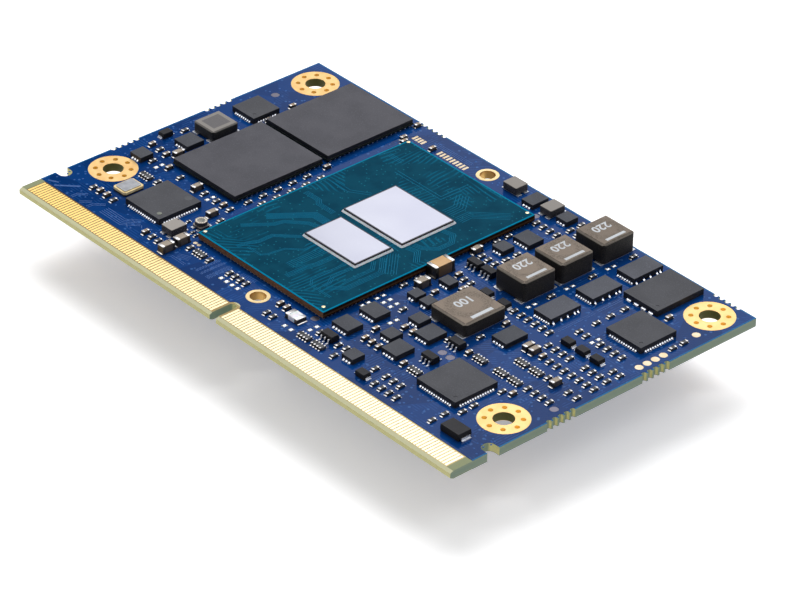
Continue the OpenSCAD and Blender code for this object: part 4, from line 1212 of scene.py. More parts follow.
@dataclass(frozen=True)
class SolderedEnds:
    """Plated ends and solder toes: a rounded metal cap whose solder runs out in a hollow curve."""

    node: str
    material: str
    round_edge: float = 0.05
    curve_steps: int = 4
    climb: float = 0.5
    lip: float = 0.1
    edge_share: float = 0.45

    def build(self) -> None:
        """Carries one profile across each solid's width.

        The profile starts at the inner foot, climbs to the top, turns a round corner, drops along the
        wall and runs out along a quarter of a hollow ellipse to the solder's edge. At both sides it is
        drawn in by the round edge, so the side corners are soft too.
        """
        s = Solids.read(self.node)
        lean = (s.low + s.high - s.end_low - s.end_high)[:, :2]
        axis = np.abs(lean).argmax(axis=1)
        rows = np.arange(len(axis))
        sign = np.sign(lean[rows, axis])
        length, width, height = s.size[rows, axis], s.size[rows, 1 - axis], s.size[:, 2]
        cap = (s.end_high - s.end_low)[rows, axis]
        edge = np.minimum(self.round_edge * MM, np.minimum(cap, height) * self.edge_share)
        profile = self.profile(length, height, cap, edge)
        inner = self.profile(length - edge, height - edge, np.maximum(cap - edge, 0.0), edge)
        across = np.stack([-width / 2, -width / 2 + edge, width / 2 - edge, width / 2], axis=1)
        plane = np.stack([inner, profile, profile, inner], axis=1)
        start = np.where(sign > 0, s.low[rows, axis], s.high[rows, axis])
        base = np.where(s.up > 0, s.low[:, 2], s.high[:, 2])
        along = start[:, None, None] + sign[:, None, None] * plane[..., 0]
        middle = s.middle[rows, 1 - axis]
        side = np.broadcast_to((middle[:, None] + across)[:, :, None], along.shape)
        level = base[:, None, None] + s.up[:, None, None] * plane[..., 1]
        by_y = axis[:, None, None] == 1
        points = np.stack([np.where(by_y, side, along), np.where(by_y, along, side), level], axis=-1)
        part = Part(self.node + "_soldered", self.material, SLOTS[self.node], self.node, smooth=50.0)
        part.repeat(points.reshape(len(rows), -1, 3), tube_faces(plane.shape[2], 4))

    def profile(self, length: np.ndarray, height: np.ndarray, cap: np.ndarray,
                edge: np.ndarray) -> np.ndarray:
        """Draws the side view of every end.

        Args:
            length: How far each solid reaches from its inner face.
            height: Its height.
            cap: The length of its metal cap.
            edge: The radius of its round corner.

        Returns:
            Distances from the inner face and heights, shape (ends, corners, 2).
        """
        zero = np.zeros_like(length)
        turn = np.linspace(0, np.pi / 2, 3)
        corner = np.stack([(cap - edge)[:, None] + edge[:, None] * np.sin(turn),
                           (height - edge)[:, None] + edge[:, None] * np.cos(turn)], axis=-1)
        lip = self.lip * height
        fall = np.linspace(0, np.pi / 2, self.curve_steps + 1)
        climb = np.where(cap > edge, self.climb, 1.0) * (height - edge)
        hollow = np.stack([length[:, None] - (length - cap)[:, None] * np.cos(fall),
                           climb[:, None] - (climb - lip)[:, None] * np.sin(fall)], axis=-1)
        foot = np.stack([np.stack([length, zero], -1), np.stack([zero, zero], -1),
                         np.stack([zero, height], -1)], axis=1)
        return np.concatenate([foot, corner, hollow], axis=1)


@dataclass(frozen=True)
class RoundedBlocks:
    """Boxes with round edges, such as the ceramic bodies of chip parts."""

    node: str
    edge: float
    tone_by_size: bool = False
    edge_share: float = 0.6

    def tones(self, half: np.ndarray) -> np.ndarray:
        """Gives each box a tone from 0 to 1.

        Args:
            half: Half the boxes' sizes.

        Returns:
            Numbers drawn from the seed, or 0 for the largest box and 1 for those below half its volume.
        """
        if not self.tone_by_size:
            return np.random.default_rng(SEED).random(len(half))
        size = np.prod(half, axis=1)
        return np.clip(2 * (1 - size / size.max()), 0, 1)

    def build(self) -> None:
        """Rounds a three by three grid on each side of every box.

        Each corner of the grid is drawn in to the nearest point of a box that is smaller by the edge
        radius, and then pushed out again by that radius along the line between them.
        """
        s = Solids.read(self.node)
        half = s.size / 2
        edge = np.minimum(self.edge * MM, half.min(axis=1) * self.edge_share)[:, None, None]
        signs, faces = self.grid()
        box = half[:, None, :]
        points = np.sign(signs) * (box - np.where(np.abs(signs) > 1, 0.0, edge))
        core = np.clip(points, edge - box, box - edge)
        reach = points - core
        far = np.linalg.norm(reach, axis=2, keepdims=True)
        points = core + reach * (edge / np.maximum(far, WELD * MM)) + s.middle[:, None, :]
        slot = SLOTS[self.node]
        piece = Part(self.node + "_rounded", slot, slot, self.node).repeat(points, [faces])
        mark_points(piece.data, "tone", np.repeat(self.tones(half), len(signs)))

    @staticmethod
    def grid() -> tuple[np.ndarray, np.ndarray]:
        """Makes the grid on a box's six sides.

        Returns:
            Its corners as signed codes, 2 on the outside and 1 one step in, and its quads.
        """
        lines = np.array([-2, -1, 1, 2])
        count = len(lines)
        cube = np.array(np.meshgrid(lines, lines, lines, indexing="ij")).reshape(3, -1).T
        keep = (np.abs(cube) == 2).any(axis=1)
        number = np.full(len(cube), -1)
        number[keep] = np.arange(keep.sum())
        i, j = np.meshgrid(np.arange(3), np.arange(3), indexing="ij")
        quads = []
        for axis in range(3):
            for end in (0, 3):
                index = np.empty((3, 3, 4, 3), int)
                a, b = [k for k in range(3) if k != axis]
                index[..., axis] = end
                for corner, (di, dj) in enumerate(((0, 0), (1, 0), (1, 1), (0, 1))):
                    index[..., corner, a] = i + di
                    index[..., corner, b] = j + dj
                quads.append(number[index @ [count**2, count, 1]].reshape(-1, 4))
        return cube[keep].astype(float), np.concatenate(quads)


@dataclass(frozen=True)
class SolderBalls:
    """Reflowed balls under a package: barrels, widest at half height."""

    node: str
    around: int = 10
    stations: int = 5
    neck: float = 0.72

    def build(self) -> None:
        """Turns a bulging profile: the radius is the neck's share at both ends and full in the middle."""
        s = Solids.read(self.node)
        rise = np.linspace(0, 1, self.stations)
        swell = self.neck + (1 - self.neck) * np.sin(np.pi * rise)
        radius = s.size[:, :1] / 2 * swell
        height = s.low[:, 2:] + s.size[:, 2:] * rise
        part = Part(self.node + "_barrels", "tin_solder", SLOTS[self.node], self.node)
        part.repeat(*turned(s.middle[:, :2], radius[..., None], height, self.around))


@dataclass(frozen=True)
class SolderDomes:
    """Bare lands with their solder: low round domes on a squarish foot."""

    node: str = "bare_lands"
    crown: float = 0.15
    foot: float = 0.02
    summit: float = 0.12
    squareness: float = 0.2
    around: int = 12
    rings: int = 4

    def build(self) -> None:
        """Raises a dome over each land: the height falls with the root of 1 minus the radius squared."""
        s = Solids.read(self.node)
        out = np.sin(np.linspace(self.summit, 1, self.rings) * np.pi / 2)[::-1]
        reach = np.concatenate([[1.0], out])
        lift = np.concatenate([[0.0], np.sqrt(np.maximum(1 - out**2, 0))])
        height = s.low[:, 2:] + (self.foot + self.crown * lift) * MM
        height[:, 0] = s.low[:, 2]
        radius = s.size[:, None, :2] / 2 * reach[:, None]
        part = Part("solder_domes", "tin_solder", SLOTS[self.node], self.node)
        part.repeat(*turned(s.middle[:, :2], radius, height, self.around, self.squareness))


# Added detail


def meander(start: Place, end: Place, reach: float, step: float) -> tuple[Place, ...]:
    """A path that swings from side to side, as lines do that are matched in length.

    Args:
        start: Where it begins.
        end: Where it ends.
        reach: How far it swings to each side.
        step: The way between two swings.

    Returns:
        Its corners: at every step one on each side of the straight way, in turn.
    """
    first, way = np.array(start), np.subtract(end, start)
    length = float(np.hypot(*way))
    way = way / length
    stations = np.repeat(np.arange(0, length, step), 2)
    sides = np.tile([1.0, -1.0, -1.0, 1.0], len(stations))[: len(stations)] * reach
    points = first + stations[:, None] * way + sides[:, None] * np.array([-way[1], way[0]])
    return tuple(map(tuple, points))


def beside(path: np.ndarray, distance: float) -> np.ndarray:
    """Moves a path sideways, with mitred corners.

    Args:
        path: Its points, shape (n, 2).
        distance: How far to the left of its direction.

    Returns:
        The moved points. At a corner the two unit normals are added and divided by 1 plus their product.
    """
    run = np.diff(path, axis=0)
    run = run / np.linalg.norm(run, axis=1, keepdims=True)
    normal = np.stack([-run[:, 1], run[:, 0]], axis=1)
    product = (normal[:-1] * normal[1:]).sum(axis=1, keepdims=True)
    mitre = (normal[:-1] + normal[1:]) / (1 + product)
    return path + distance * np.concatenate([normal[:1], mitre, normal[-1:]])


@dataclass(frozen=True)
class Bundle:
    """Parallel traces along one path of board places, in millimetres."""

    path: tuple[Place, ...]
    count: int
    pitch: float
    width: float = 0.08

    def lines(self) -> list[np.ndarray]:
        """The centre line of each trace, set side by side across the path."""
        shifts = (np.arange(self.count) - (self.count - 1) / 2) * self.pitch
        return [beside(np.array(self.path, float), shift) for shift in shifts]


@dataclass(frozen=True)
class RaisedTraces:
    """Copper lines that show as low ridges under a mask."""

    part: Part
    bundles: tuple[Bundle, ...]
    floor_z: float
    face: Face = Face.TOP
    height: float = 0.014
    sunk_share: float = 0.3

    def build(self) -> None:
        """Carries a low trapezium along every trace's centre line, with its foot sunk into the mask."""
        blocks, faces, first = [], [[], []], 0
        rise = np.array([-self.sunk_share, 1, 1, -self.sunk_share]) * self.height * MM
        level = self.floor_z + self.face.value * rise
        for bundle in self.bundles:
            wide, narrow = bundle.width / 2, bundle.width / 2 - self.height
            for line in bundle.lines():
                loops = np.stack([np.c_[BOARD.place(beside(line, shift)), np.full(len(line), z)]
                                  for shift, z in zip((wide, narrow, -narrow, -wide), level)], axis=1)
                for group, block in zip(faces, tube_faces(4, len(line))):
                    group.append(block + first)
                blocks.append(loops.reshape(-1, 3))
                first += len(blocks[-1])
        self.part.shape(np.concatenate(blocks), [np.concatenate(group) for group in faces])


@dataclass(frozen=True)
class Discs:
    """Round low spots or caps at given centres: a flat-topped cap, or a dish where the crown is below 0."""

    part: Part
    centres: np.ndarray
    radius: float
    crown: float
    around: int
    sunk: float = 0.01
    proud: float = 0.002
    reach: tuple[float, ...] = (1.0, 1.0, 0.75, 0.35)
    crown_share: tuple[float, ...] = (0.0, 0.0, 0.7, 1.0)

    def build(self) -> None:
        """Turns a foot, a shoulder and a crown around each centre, which is (x, y, z, up) in metres."""
        reach = np.array(self.reach) * self.radius * MM
        base = np.array([-self.sunk, self.proud, self.proud, self.proud])
        lift = (base + np.array(self.crown_share) * self.crown) * MM
        height = self.centres[:, 2:3] + self.centres[:, 3:] * lift
        self.part.repeat(*turned(self.centres[:, :2], reach[:, None], height, self.around))


def with_level(places: Iterable[Place], z: float, face: Face) -> np.ndarray:
    """Board places in millimetres as rows of x, y, z and up in the frame."""
    spot = BOARD.place(np.array(places))
    return np.c_[spot, np.full(len(spot), z), np.full(len(spot), float(face.value))]


def circle(count: int, radius: float) -> np.ndarray:
    """Points at even angles on a circle around the origin, shape (count, 2)."""
    angle = np.arange(count) * 2 * np.pi / count
    return np.stack([np.cos(angle), np.sin(angle)], axis=1) * radius


PACKAGE_BUNDLES = (
    Bundle(((33.2, 23.3), (30.6, 23.3), (26.9, 18.4)), 8, 0.17),
    Bundle(((33.2, 21.9), (31.6, 21.4), (29.3, 19.3), (29.0, 18.0), (26.5, 14.6)), 4, 0.2),
    Bundle(((33.6, 18.9), (32.2, 17.4), (30.9, 16.1), (30.9, 13.9), (30.3, 12.7), (30.0, 11.1)), 4, 0.18),
    Bundle(((36.0, 19.0), (36.0, 17.0), (34.3, 15.3), (33.9, 12.9), (33.4, 12.1), (31.0, 12.1)), 2, 0.22),
    Bundle(((37.6, 19.0), (37.6, 13.2)), 5, 0.32),
    Bundle(((39.6, 19.0), (39.6, 16.0), (39.2, 14.6), (39.2, 11.4)), 4, 0.24),
    Bundle(((41.8, 19.0), (41.8, 13.3), (42.7, 12.4), (46.4, 12.4)), 2, 0.24),
    Bundle(((43.0, 19.0), (43.0, 15.6), (43.8, 14.4), (43.8, 13.4)), 3, 0.22),
    Bundle(((43.8, 24.8), (47.2, 21.4)), 5, 0.34),
    Bundle(((43.8, 23.2), (46.1, 20.9), (46.1, 15.2), (44.4, 13.4)), 4, 0.24),
    Bundle(((43.6, 21.8), (44.9, 20.4), (44.9, 15.8)), 3, 0.24),
    Bundle(((43.7, 33.0), (45.3, 33.4), (46.6, 32.0), (46.6, 29.8), (45.2, 28.4), (43.9, 28.1)), 4, 0.22),
    Bundle(((43.9, 27.0), (45.4, 27.4), (47.2, 25.6)), 4, 0.24),
    Bundle(((41.0, 36.2), (41.0, 38.4), (39.2, 40.6)), 5, 0.4),
    Bundle(((43.2, 36.2), (43.2, 38.2), (46.8, 41.8)), 5, 0.34),
    Bundle(((29.2, 38.1), (37.8, 38.1), (37.8, 43.0)), 2, 0.5),
    Bundle(((25.6, 26.0), (28.2, 26.0), (28.9, 25.4), (31.8, 25.4)), 4, 0.22),
    Bundle(((25.4, 40.2), (28.0, 40.2)), 3, 0.3),
    Bundle(((26.0, 30.4), (29.0, 30.4), (31.4, 32.0)), 2, 0.5),
)

MASK_BUNDLES = (
    Bundle(((2.4, 3.7), (4.8, 6.1)), 1, 0.2, 0.34),
    Bundle(((0.9, 3.9), (2.2, 4.6)), 1, 0.2, 0.3),
    Bundle(((6.0, 3.7), (6.0, 4.7), (7.0, 5.6)), 2, 0.34, 0.14),
    Bundle(((7.6, 3.7), (8.7, 4.9)), 2, 0.34, 0.14),
    Bundle(((9.2, 3.7), (9.3, 4.7), (10.4, 5.8)), 2, 0.34, 0.14),
    Bundle(((11.2, 4.9), (15.0, 4.9), (16.7, 6.5)), 5, 0.34, 0.12),
    *(Bundle(meander((x, 4.8), (x, 8.6), reach, 0.22), 1, 0.3, 0.11)
      for x, reach in ((29.8, 0.16), (30.7, 0.16), (31.9, 0.32))),
    Bundle(((25.6, 5.2), (27.2, 5.9)), 4, 0.3, 0.1),
    Bundle(((34.0, 8.5), (36.6, 8.8)), 3, 0.26, 0.1),
    Bundle(((68.5, 29.5), (68.5, 33.7)), 2, 0.3, 0.1),
    Bundle(((68.5, 33.8), (68.5, 35.7)), 2, 0.3, 0.1),
    Bundle(((68.5, 36.2), (68.5, 40.1)), 2, 0.3, 0.1),
    Bundle(((66.8, 35.4), (67.4, 36.2)), 1, 0.3, 0.12),
    Bundle(((67.7, 40.5), (68.4, 40.5)), 1, 0.3, 0.12),
    Bundle(((65.6, 42.7), (67.0, 42.9)), 1, 0.3, 0.12),
    Bundle(((15.17, 6.22), (16.16, 5.96)), 1, 0.3, 0.12),
    Bundle(((15.45, 5.11), (16.37, 4.56)), 1, 0.3, 0.12),
    Bundle(((17.22, 6.19), (17.74, 5.78)), 1, 0.3, 0.12),
    Bundle(((51.0, 19.5), (51.8, 20.2), (52.6, 19.5)), 1, 0.2, 0.14),
    Bundle(((24.7, 4.2), (25.2, 4.6), (27.8, 4.6)), 2, 0.3, 0.1),
    Bundle(((26.2, 47.8), (33.0, 47.8)), 3, 0.3, 0.1),
    Bundle(((55.4, 19.8), (55.4, 24.8)), 3, 0.3, 0.1),
    Bundle(((8.0, 49.2), (19.0, 49.2)), 2, 0.3, 0.1),
)

UNDER_BUNDLES = (
    Bundle(((11.0, 4.8), (20.0, 4.8), (22.0, 6.8)), 4, 0.3, 0.12),
    Bundle(((22.6, 21.0), (28.0, 21.0), (29.6, 22.6)), 6, 0.34, 0.12),
    Bundle(((22.6, 38.0), (28.0, 38.0), (29.6, 36.4)), 6, 0.34, 0.12),
    Bundle(((56.4, 5.0), (56.4, 12.4), (54.8, 14.0), (52.6, 14.0)), 5, 0.3, 0.12),
    Bundle(((75.4, 18.4), (77.0, 20.0), (77.0, 33.0)), 5, 0.3, 0.12),
    Bundle(((50.0, 46.0), (66.0, 46.0), (69.0, 43.0)), 4, 0.34, 0.12),
    Bundle(((38.4, 48.2), (44.0, 48.2), (46.0, 46.2)), 4, 0.34, 0.12),
)

PACKAGE_DOTS = ((24.75, 10.35), (47.4, 10.4), (47.4, 44.1), (24.7, 44.2))


@dataclass(frozen=True)
class TentedHoles:
    """Small holes closed by the mask, spread over the free parts of one face."""

    face: Face
    count: int
    radius: float = 0.14
    crown: float = 0.008
    clear: float = 0.28
    edge: float = 0.8
    start_y: float = 4.4
    grid: float = 0.25
    tries: int = 4

    def build(self) -> None:
        """Draws places from a seeded generator and keeps those that lie clear of every solid."""
        low, high = self.obstacles()
        size = (BOARD.high - BOARD.low) / MM
        draw = np.random.default_rng(SEED + self.face.value)
        room = [size.x - 2 * self.edge, size.y - self.edge - self.start_y]
        spots = draw.random((self.count * self.tries, 2)) * room + [self.edge, self.start_y]
        spots = np.round(spots / self.grid) * self.grid
        gap = np.maximum(low[None] - spots[:, None], spots[:, None] - high[None]).max(axis=2)
        free = np.unique(spots[(gap > self.clear).all(axis=1)], axis=0)
        free = free[draw.permutation(len(free))][: self.count]
        part = Part(f"tented_holes_{self.face.name.lower()}", "tented_hole", "solder_mask")
        rows = with_level(free, BOARD.mask_z(self.face), self.face)
        Discs(part, rows, self.radius, self.crown, around=8).build()

    def obstacles(self) -> tuple[np.ndarray, np.ndarray]:
        """Lists the solids on this face that stand on the mask.

        Returns:
            The low and the high corners of their boxes in board millimetres.
        """
        lows, highs = [], []
        for node in SLOTS:
            if node.startswith(("board_", "mask_")):
                continue
            s = Solids.read(node)
            here = (s.up == self.face.value) | (s.size[:, 2] > MM)
            lows.append(s.low[here, :2])
            highs.append(s.high[here, :2])
        corner = np.array([BOARD.low.x, BOARD.low.y])
        return (np.concatenate(lows) - corner) / MM, (np.concatenate(highs) - corner) / MM


@dataclass(frozen=True)
class RingPits:
    """The dished bottoms of the small holes around each mounting hole."""

    around: int = 8
    circle_r: float = 2.3
    radius: float = 0.33
    crown: float = -0.006
    lift: float = 0.012

    def build(self) -> None:
        """Sets a dish in each stitching hole, on both faces."""
        s = Solids.read("mounting_rings")
        spots = s.middle[:, None, :2] + circle(self.around, self.circle_r * MM)
        level = np.where(s.up > 0, s.low[:, 2], s.high[:, 2]) + s.up * self.lift * MM
        levels = np.repeat(np.stack([level, s.up], 1)[:, None], self.around, axis=1)
        rows = np.concatenate([spots, levels], axis=2).reshape(-1, 4)
        Discs(Part("ring_pits", "amber_pit", "pad_gold"), rows, self.radius, self.crown, around=12).build()


@dataclass(frozen=True)
class Spot:
    """One flat round mark on top of a solid."""

    name: str
    node: str
    place: Place
    radius: float
    material: str
    crown: float = 0.004

    def build(self) -> None:
        """Lays a thin disc on the solid's top."""
        rows = with_level([self.place], Solids.read(self.node).top_at(self.place), Face.TOP)
        part = Part(self.name, self.material, SLOTS[self.node])
        Discs(part, rows, self.radius, self.crown, around=20).build()


@dataclass(frozen=True)
class DrumLobes:
    """The pale lobes around the plate of the small wound drum."""

    place: Place = (22.3, 11.7)
    count: int = 14
    circle_r: float = 0.62
    radius: float = 0.12
    crown: float = 0.03

    def build(self) -> None:
        """Sets the lobes on their circle, on the drum's top."""
        top = Solids.read("small_coils").top_at(self.place)
        rows = with_level(circle(self.count, self.circle_r) + self.place, top, Face.TOP)
        part = Part("drum_lobes", "cream_tin", "grey_ferrite")
        Discs(part, rows, self.radius, self.crown, around=8).build()


@dataclass(frozen=True)
class CoilMarks:
    """A printed bar and plain digits on each power coil, read from the board's left end."""

    node: str
    digits: str
    digit_h: float
    bar_l: float
    bar_w: float = 0.45
    bold: float = 0.04
    digits_left: float = 0.75
    bar_inset: float = 0.75
    lift: float = 0.006
    font_scale: float = 1.35
    font_weld: float = 1e-5

    def build(self) -> None:
        """Lays the bar near each coil's right side and the digits, turned a quarter, beside it."""
        s = Solids.read(self.node)
        glyphs, faces = self.glyphs()
        bar, bar_faces = self.bar()
        shape = np.concatenate([glyphs, bar])
        in_bar = np.arange(len(shape)) >= len(glyphs)
        copies = np.repeat(shape[None], len(s.low), axis=0)
        copies[..., 0] += in_bar * (s.size[:, :1] / 2 - self.bar_inset * MM)
        copies[..., :2] += s.middle[:, None, :2]
        copies[..., 2] += s.high[:, 2:] + self.lift * MM
        part = Part(self.node + "_marks", "marking_ink", SLOTS[self.node], smooth=10.0)
        part.repeat(copies, [faces, bar_faces + len(glyphs)])

    def bar(self) -> tuple[np.ndarray, np.ndarray]:
        """Makes a thin closed plate around the origin.

        Returns:
            Its corners and its six faces.
        """
        x, y, z = self.bar_w / 2 * MM, self.bar_l / 2 * MM, self.lift * MM
        corners = np.array([[i, j, k] for k in (-z, 0) for i, j in ((-x, -y), (x, -y), (x, y), (-x, y))])
        return corners, np.concatenate(tube_faces(4, 2))

    def glyphs(self) -> tuple[np.ndarray, np.ndarray]:
        """Makes the digits one thin mesh, turned a quarter and centred a little left of the middle.

        Returns:
            Its corners and its triangles.
        """
        curve = bpy.data.curves.new("digits", "FONT")
        curve.body = self.digits
        curve.size = self.digit_h * self.font_scale
        curve.offset = self.bold
        curve.extrude = self.lift / 2
        curve.resolution_u = 3
        curve.align_x = "CENTER"
        curve.align_y = "CENTER"
        holder = place_object("digits", curve)
        bpy.context.view_layer.update()
        mesh = bpy.data.meshes.new_from_object(holder.evaluated_get(bpy.context.evaluated_depsgraph_get()))
        with opened(mesh) as work:
            bmesh.ops.triangulate(work, faces=work.faces)
            bmesh.ops.remove_doubles(work, verts=work.verts, dist=self.font_weld)
        flat = values_of(mesh.vertices, "co", 3).reshape(-1, 3)
        corners = values_of(mesh.loops, "vertex_index", kind=int)
        bpy.data.objects.remove(holder)
        bpy.data.curves.remove(curve)
        bpy.data.meshes.remove(mesh)
        points = np.stack([flat[:, 1] - self.digits_left, -flat[:, 0], flat[:, 2] - self.lift / 2], axis=1)
        return points * MM, corners.reshape(-1, 3)


# Studio


@dataclass(frozen=True)
class Studio:
    """The camera at the photograph's angle, a pale floor, two soft boxes and a soft room."""

    azimuth: float = 48.135
    elevation: float = 32.87
    roll: float = 0.922
    distance: float = 498.08
    lens: float = 183.66
    clip: Span = (0.01, 20.0)
    look_at: tuple[float, float, float] = (10.03, -5.42, 2.25)
    floor_half: float = 3000.0
    floor_z: float = -7.3
    floor_glow: float = 0.35
    floor_lit: str = "#c0c0c2"
    floor_seen: str = "#fafafb"
    box_size: float = 620.0
    box_watts: float = 7.4
    box_away: float = 1000.0
    back_way: tuple[float, float, float] = (-0.42, 0.30, 0.86)
    side_way: tuple[float, float, float] = (0.42, 0.36, 0.83)
    side_size: float = 0.8
    side_watts: float = 0.2
    fill_left: float = 0.47
    fill_right: float = 0.28
    fill_ends: Span = (-0.5, 0.6)
    dim: float = 0.05
    bright: float = 1.15
    panel_start: Span = (-0.35, -0.15)
    panel_end: Span = (-0.075, 0.0)
    horizon: float = 0.55
    horizon_ends: Span = (0.0, 0.5)
    overhead: float = 2.3
    band_rise: Span = (0.57, 0.68)
    band_fall: Span = (0.82, 0.96)

    def camera(self) -> None:
        """Puts the camera on its line of sight and rolls it about that line."""
        a, e = math.radians(self.azimuth), math.radians(self.elevation)
        back = Vector((math.sin(a) * math.cos(e), -math.cos(a) * math.cos(e), math.sin(e)))
        data = bpy.data.cameras.new("photo_camera")
        data.lens = self.lens
        data.clip_start, data.clip_end = self.clip
        eye = place_object("photo_camera", data)
        turn = back.to_track_quat("Z", "Y").to_matrix() @ Matrix.Rotation(math.radians(self.roll), 3, "Z")
        place = (Vector(self.look_at) + back * self.distance) * MM
        eye.matrix_world = Matrix.Translation(place) @ turn.to_4x4()
        bpy.context.scene.camera = eye

    def floor(self) -> None:
        """Lays a wide plane under the module, paler to the eye than to the light that it sends back."""
        half, z = self.floor_half * MM, self.floor_z * MM
        mesh = bpy.data.meshes.new("floor")
        corners = [(-half, -half, z), (half, -half, z), (half, half, z), (-half, half, z)]
        mesh.from_pydata(corners, [], [(0, 1, 2, 3)])
        r = Recipe("pale_floor")
        seen = r.math("MAXIMUM", r.in_view(), r.mirrored())
        r.set(Base_Color=r.mix(seen, self.floor_lit, self.floor_seen), Roughness=0.9, Specular_IOR_Level=0.1,
              Emission_Color=(1.0, 1.0, 1.0, 1.0), Emission_Strength=r.times(seen, self.floor_glow))
        mesh.materials.append(r.material)
        plane = place_object("floor", mesh)

    def lights(self) -> None:
        """Hangs a large soft box behind and above the module, and a weaker one at its right."""
        self.soft_box("back_box", self.back_way, self.box_size, self.box_watts)
        self.soft_box("side_box", self.side_way, self.box_size * self.side_size,
                      self.box_watts * self.side_watts)

    def soft_box(self, name: str, direction: tuple[float, float, float], size: float, watts: float) -> None:
        """Adds a square area lamp that looks at the module and shows in no mirror.

        Args:
            name: The lamp's name.
            direction: Where it hangs, seen from the module.
            size: The length of its side in millimetres.
            watts: Its power.
        """
        data = bpy.data.lights.new(name, "AREA")
        data.size = size * MM
        data.energy = watts
        lamp = place_object(name, data)
        lamp.visible_glossy = False
        way = Vector(direction).normalized()
        turn = way.to_track_quat("Z", "Y").to_matrix().to_4x4()
        lamp.matrix_world = Matrix.Translation(way * self.box_away * MM) @ turn

    def world(self) -> None:
        """Lights the module softly from all sides, and shows white behind it.

        Metal, silicon and mask mirror a bright room with one dark panel, which ends left of the middle of
        the view. The level steps smoothly from bright to dim and back at the ends of the panel, by the
        ray's share along the camera's right-hand direction. It falls towards the horizon, and a band of
        soft light half way up is added to it. Matt surfaces get a fill that is stronger from the left.
        """
        world = bpy.data.worlds.new("soft_room")
        bpy.context.scene.world = world
        world.use_nodes = True
        n = Nodes(world.node_tree)
        a = math.radians(self.azimuth)
        way = n.add("TexCoord").outputs["Generated"]
        across = n.add("VectorMath", {0: way, 1: (math.cos(a), math.sin(a), 0.0)},
                       operation="DOT_PRODUCT").outputs["Value"]
        height = n.parts(way)[2]
        side = n.math("MAXIMUM", n.span(across, *self.panel_end, self.dim, self.bright),
                      n.span(across, *self.panel_start, self.bright, self.dim))
        rise = n.span(height, *self.horizon_ends, self.horizon, 1.0)
        band = n.times(n.within(height, self.band_rise, self.band_fall), self.overhead)
        room = n.math("MULTIPLY_ADD", side, rise, band)
        fill = n.add("MapRange", {0: across, 1: self.fill_ends[0], 2: self.fill_ends[1],
                                  3: self.fill_left, 4: self.fill_right}).outputs[0]
        level = n.add("Mix", {0: n.mirrored(), 2: fill, 3: room}).outputs[0]
        level = n.add("Mix", {0: n.in_view(), 2: level, 3: 1.0}).outputs[0]
        sky = n.tree.nodes["Background"].inputs
        n.feed(sky["Color"], "#ffffff")
        n.feed(sky["Strength"], level)

    def build(self) -> None:
        """Sets up camera, floor, light and the plain view transform."""
        self.camera()
        self.floor()
        self.lights()
        self.world()
        bpy.context.scene.view_settings.view_transform = "Standard"
        log.info("studio ready")


# The module

SLOTS = {part["node"]: part["material_slot"] for part in frame["record"]["subparts"]}

PLAIN_NODES = (
    "board_laminate", "mask_film_top", "mask_film_under", "mounting_rings", "plated_sleeves", "test_points",
)

SOFT_COPIES = tuple(SoftCopy(*row) for row in (
    ("contacts_top", 0.02, 1), ("contacts_under", 0.02, 1), ("processor_carrier", 0.03),
    ("die_large", 0.015), ("die_small", 0.015), ("die_underfill", 0.03),
    ("memory_top_carriers", 0.02), ("memory_top_mouldings", 0.05),
    ("memory_under_carriers", 0.02), ("memory_under_mouldings", 0.05),
    ("storage_carrier", 0.02), ("storage_moulding", 0.05),
    ("controller_left", 0.04), ("controller_right", 0.04), ("codec", 0.04), ("bridge", 0.04),
    ("boot_flash", 0.05), ("power_stages", 0.04), ("small_packages", 0.035, 2, (), "small_mould"),
    ("six_lead_packages", 0.03), ("six_lead_legs", 0.02),
    # The power coils' tones go in the order of Y, so the coils farther from the contact edge are darker.
    ("power_coils", 0.1, 3, (0.0, 0.25, 0.9)), ("power_coil_terminals", 0.03),
    ("flat_coil", 0.1, 3, (0.0,)), ("flat_coil_terminals", 0.03),
    ("side_coil", 0.08, 3, (1.0,)), ("side_coil_terminals", 0.03),
    ("small_coils", 0.03, 2, (0.0, 0.4, 0.5, 0.45), "small_coil_ferrite"), ("small_coil_terminals", 0.03),
    ("crystal_base", 0.02), ("crystal_lid", 0.04), ("diode_bodies", 0.04), ("diode_terminals", 0.02),
))

BLOCKS = (
    RoundedBlocks("capacitor_blocks", 0.05),
    RoundedBlocks("large_capacitor_blocks", 0.06, True),
    RoundedBlocks("resistor_blocks", 0.03),
    RoundedBlocks("lamp_body", 0.05),
)

ENDS = (
    SolderedEnds("capacitor_ends", "tin_end"),
    SolderedEnds("large_capacitor_ends", "tin_end", 0.08),
    SolderedEnds("resistor_ends", "tin_end", 0.04),
    SolderedEnds("lamp_ends", "tin_end"),
    *(SolderedEnds(node, "tin_solder", 0.04) for node in SLOTS if node.endswith("_toes")),
)

BALLS = tuple(SolderBalls(node) for node in SLOTS if node.endswith("_balls"))

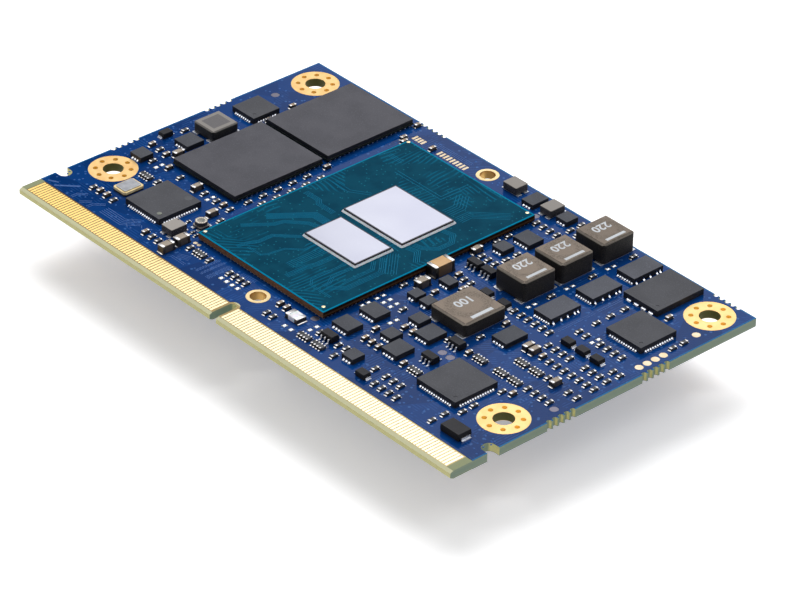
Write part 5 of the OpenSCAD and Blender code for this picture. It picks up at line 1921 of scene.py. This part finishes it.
MARKS = (
    CoilMarks("power_coils", "220", 1.35, 3.2),
    CoilMarks("flat_coil", "100", 1.4, 3.4, 0.55, digits_left=0.9),
    DrumLobes(),
    Spot("drum_plate", "small_coils", (22.3, 11.7), 0.44, "drum_paint", 0.012),
    Spot("pin_mark", "controller_left", (17.45, 8.87), 0.33, "mould_mark"),
    Spot("ejector_mark", "controller_left", (16.98, 13.91), 0.5, "faint_mark"),
    Spot("coil_dot", "small_coils", (20.51, 9.47), 0.12, "black_mould"),
)


def surface_lines() -> tuple[RaisedTraces | Discs, ...]:
    """Lists the traces on the board's faces and on the processor's carrier, and the carrier's corner dots.

    Returns:
        The sub-assemblies, not yet built.
    """
    carrier_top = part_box("processor_carrier")[1].z
    on_carrier = Part("package_traces", "package_trace", "package_substrate", smooth=20.0)
    on_top = Part("mask_traces_top", "raised_trace", "solder_mask", smooth=20.0)
    on_under = Part("mask_traces_under", "raised_trace", "solder_mask", smooth=20.0)
    dots = Part("package_dots", "cream_dot", "package_substrate")
    return (
        RaisedTraces(on_carrier, PACKAGE_BUNDLES, carrier_top, height=0.01),
        RaisedTraces(on_top, MASK_BUNDLES, BOARD.mask_top),
        RaisedTraces(on_under, UNDER_BUNDLES, BOARD.mask_under, Face.UNDER),
        Discs(dots, with_level(PACKAGE_DOTS, carrier_top, Face.TOP), 0.24, crown=0.01, around=16),
    )


def dress_plain_nodes() -> None:
    """Gives the CAD nodes whose shape is right their finishes."""
    for node in PLAIN_NODES:
        name = "test_pads" if node == "test_points" else SLOTS[node]
        mesh = frame["nodes"][node].data
        mesh.materials.clear()
        mesh.materials.append(finish(name))
        log.info("%s: finish %s", node, name)


def main() -> None:
    """Builds the pieces in order, then the studio."""
    logging.basicConfig(level=logging.INFO)
    dress_plain_nodes()
    solder = (*ENDS, *BALLS, SolderDomes())
    holes = (TentedHoles(Face.TOP, count=420), TentedHoles(Face.UNDER, count=300), RingPits())
    for assembly in (*SOFT_COPIES, *BLOCKS, *solder, *surface_lines(), *holes, *MARKS):
        assembly.build()
    Studio().build()


if __name__ == "__main__":
    main()
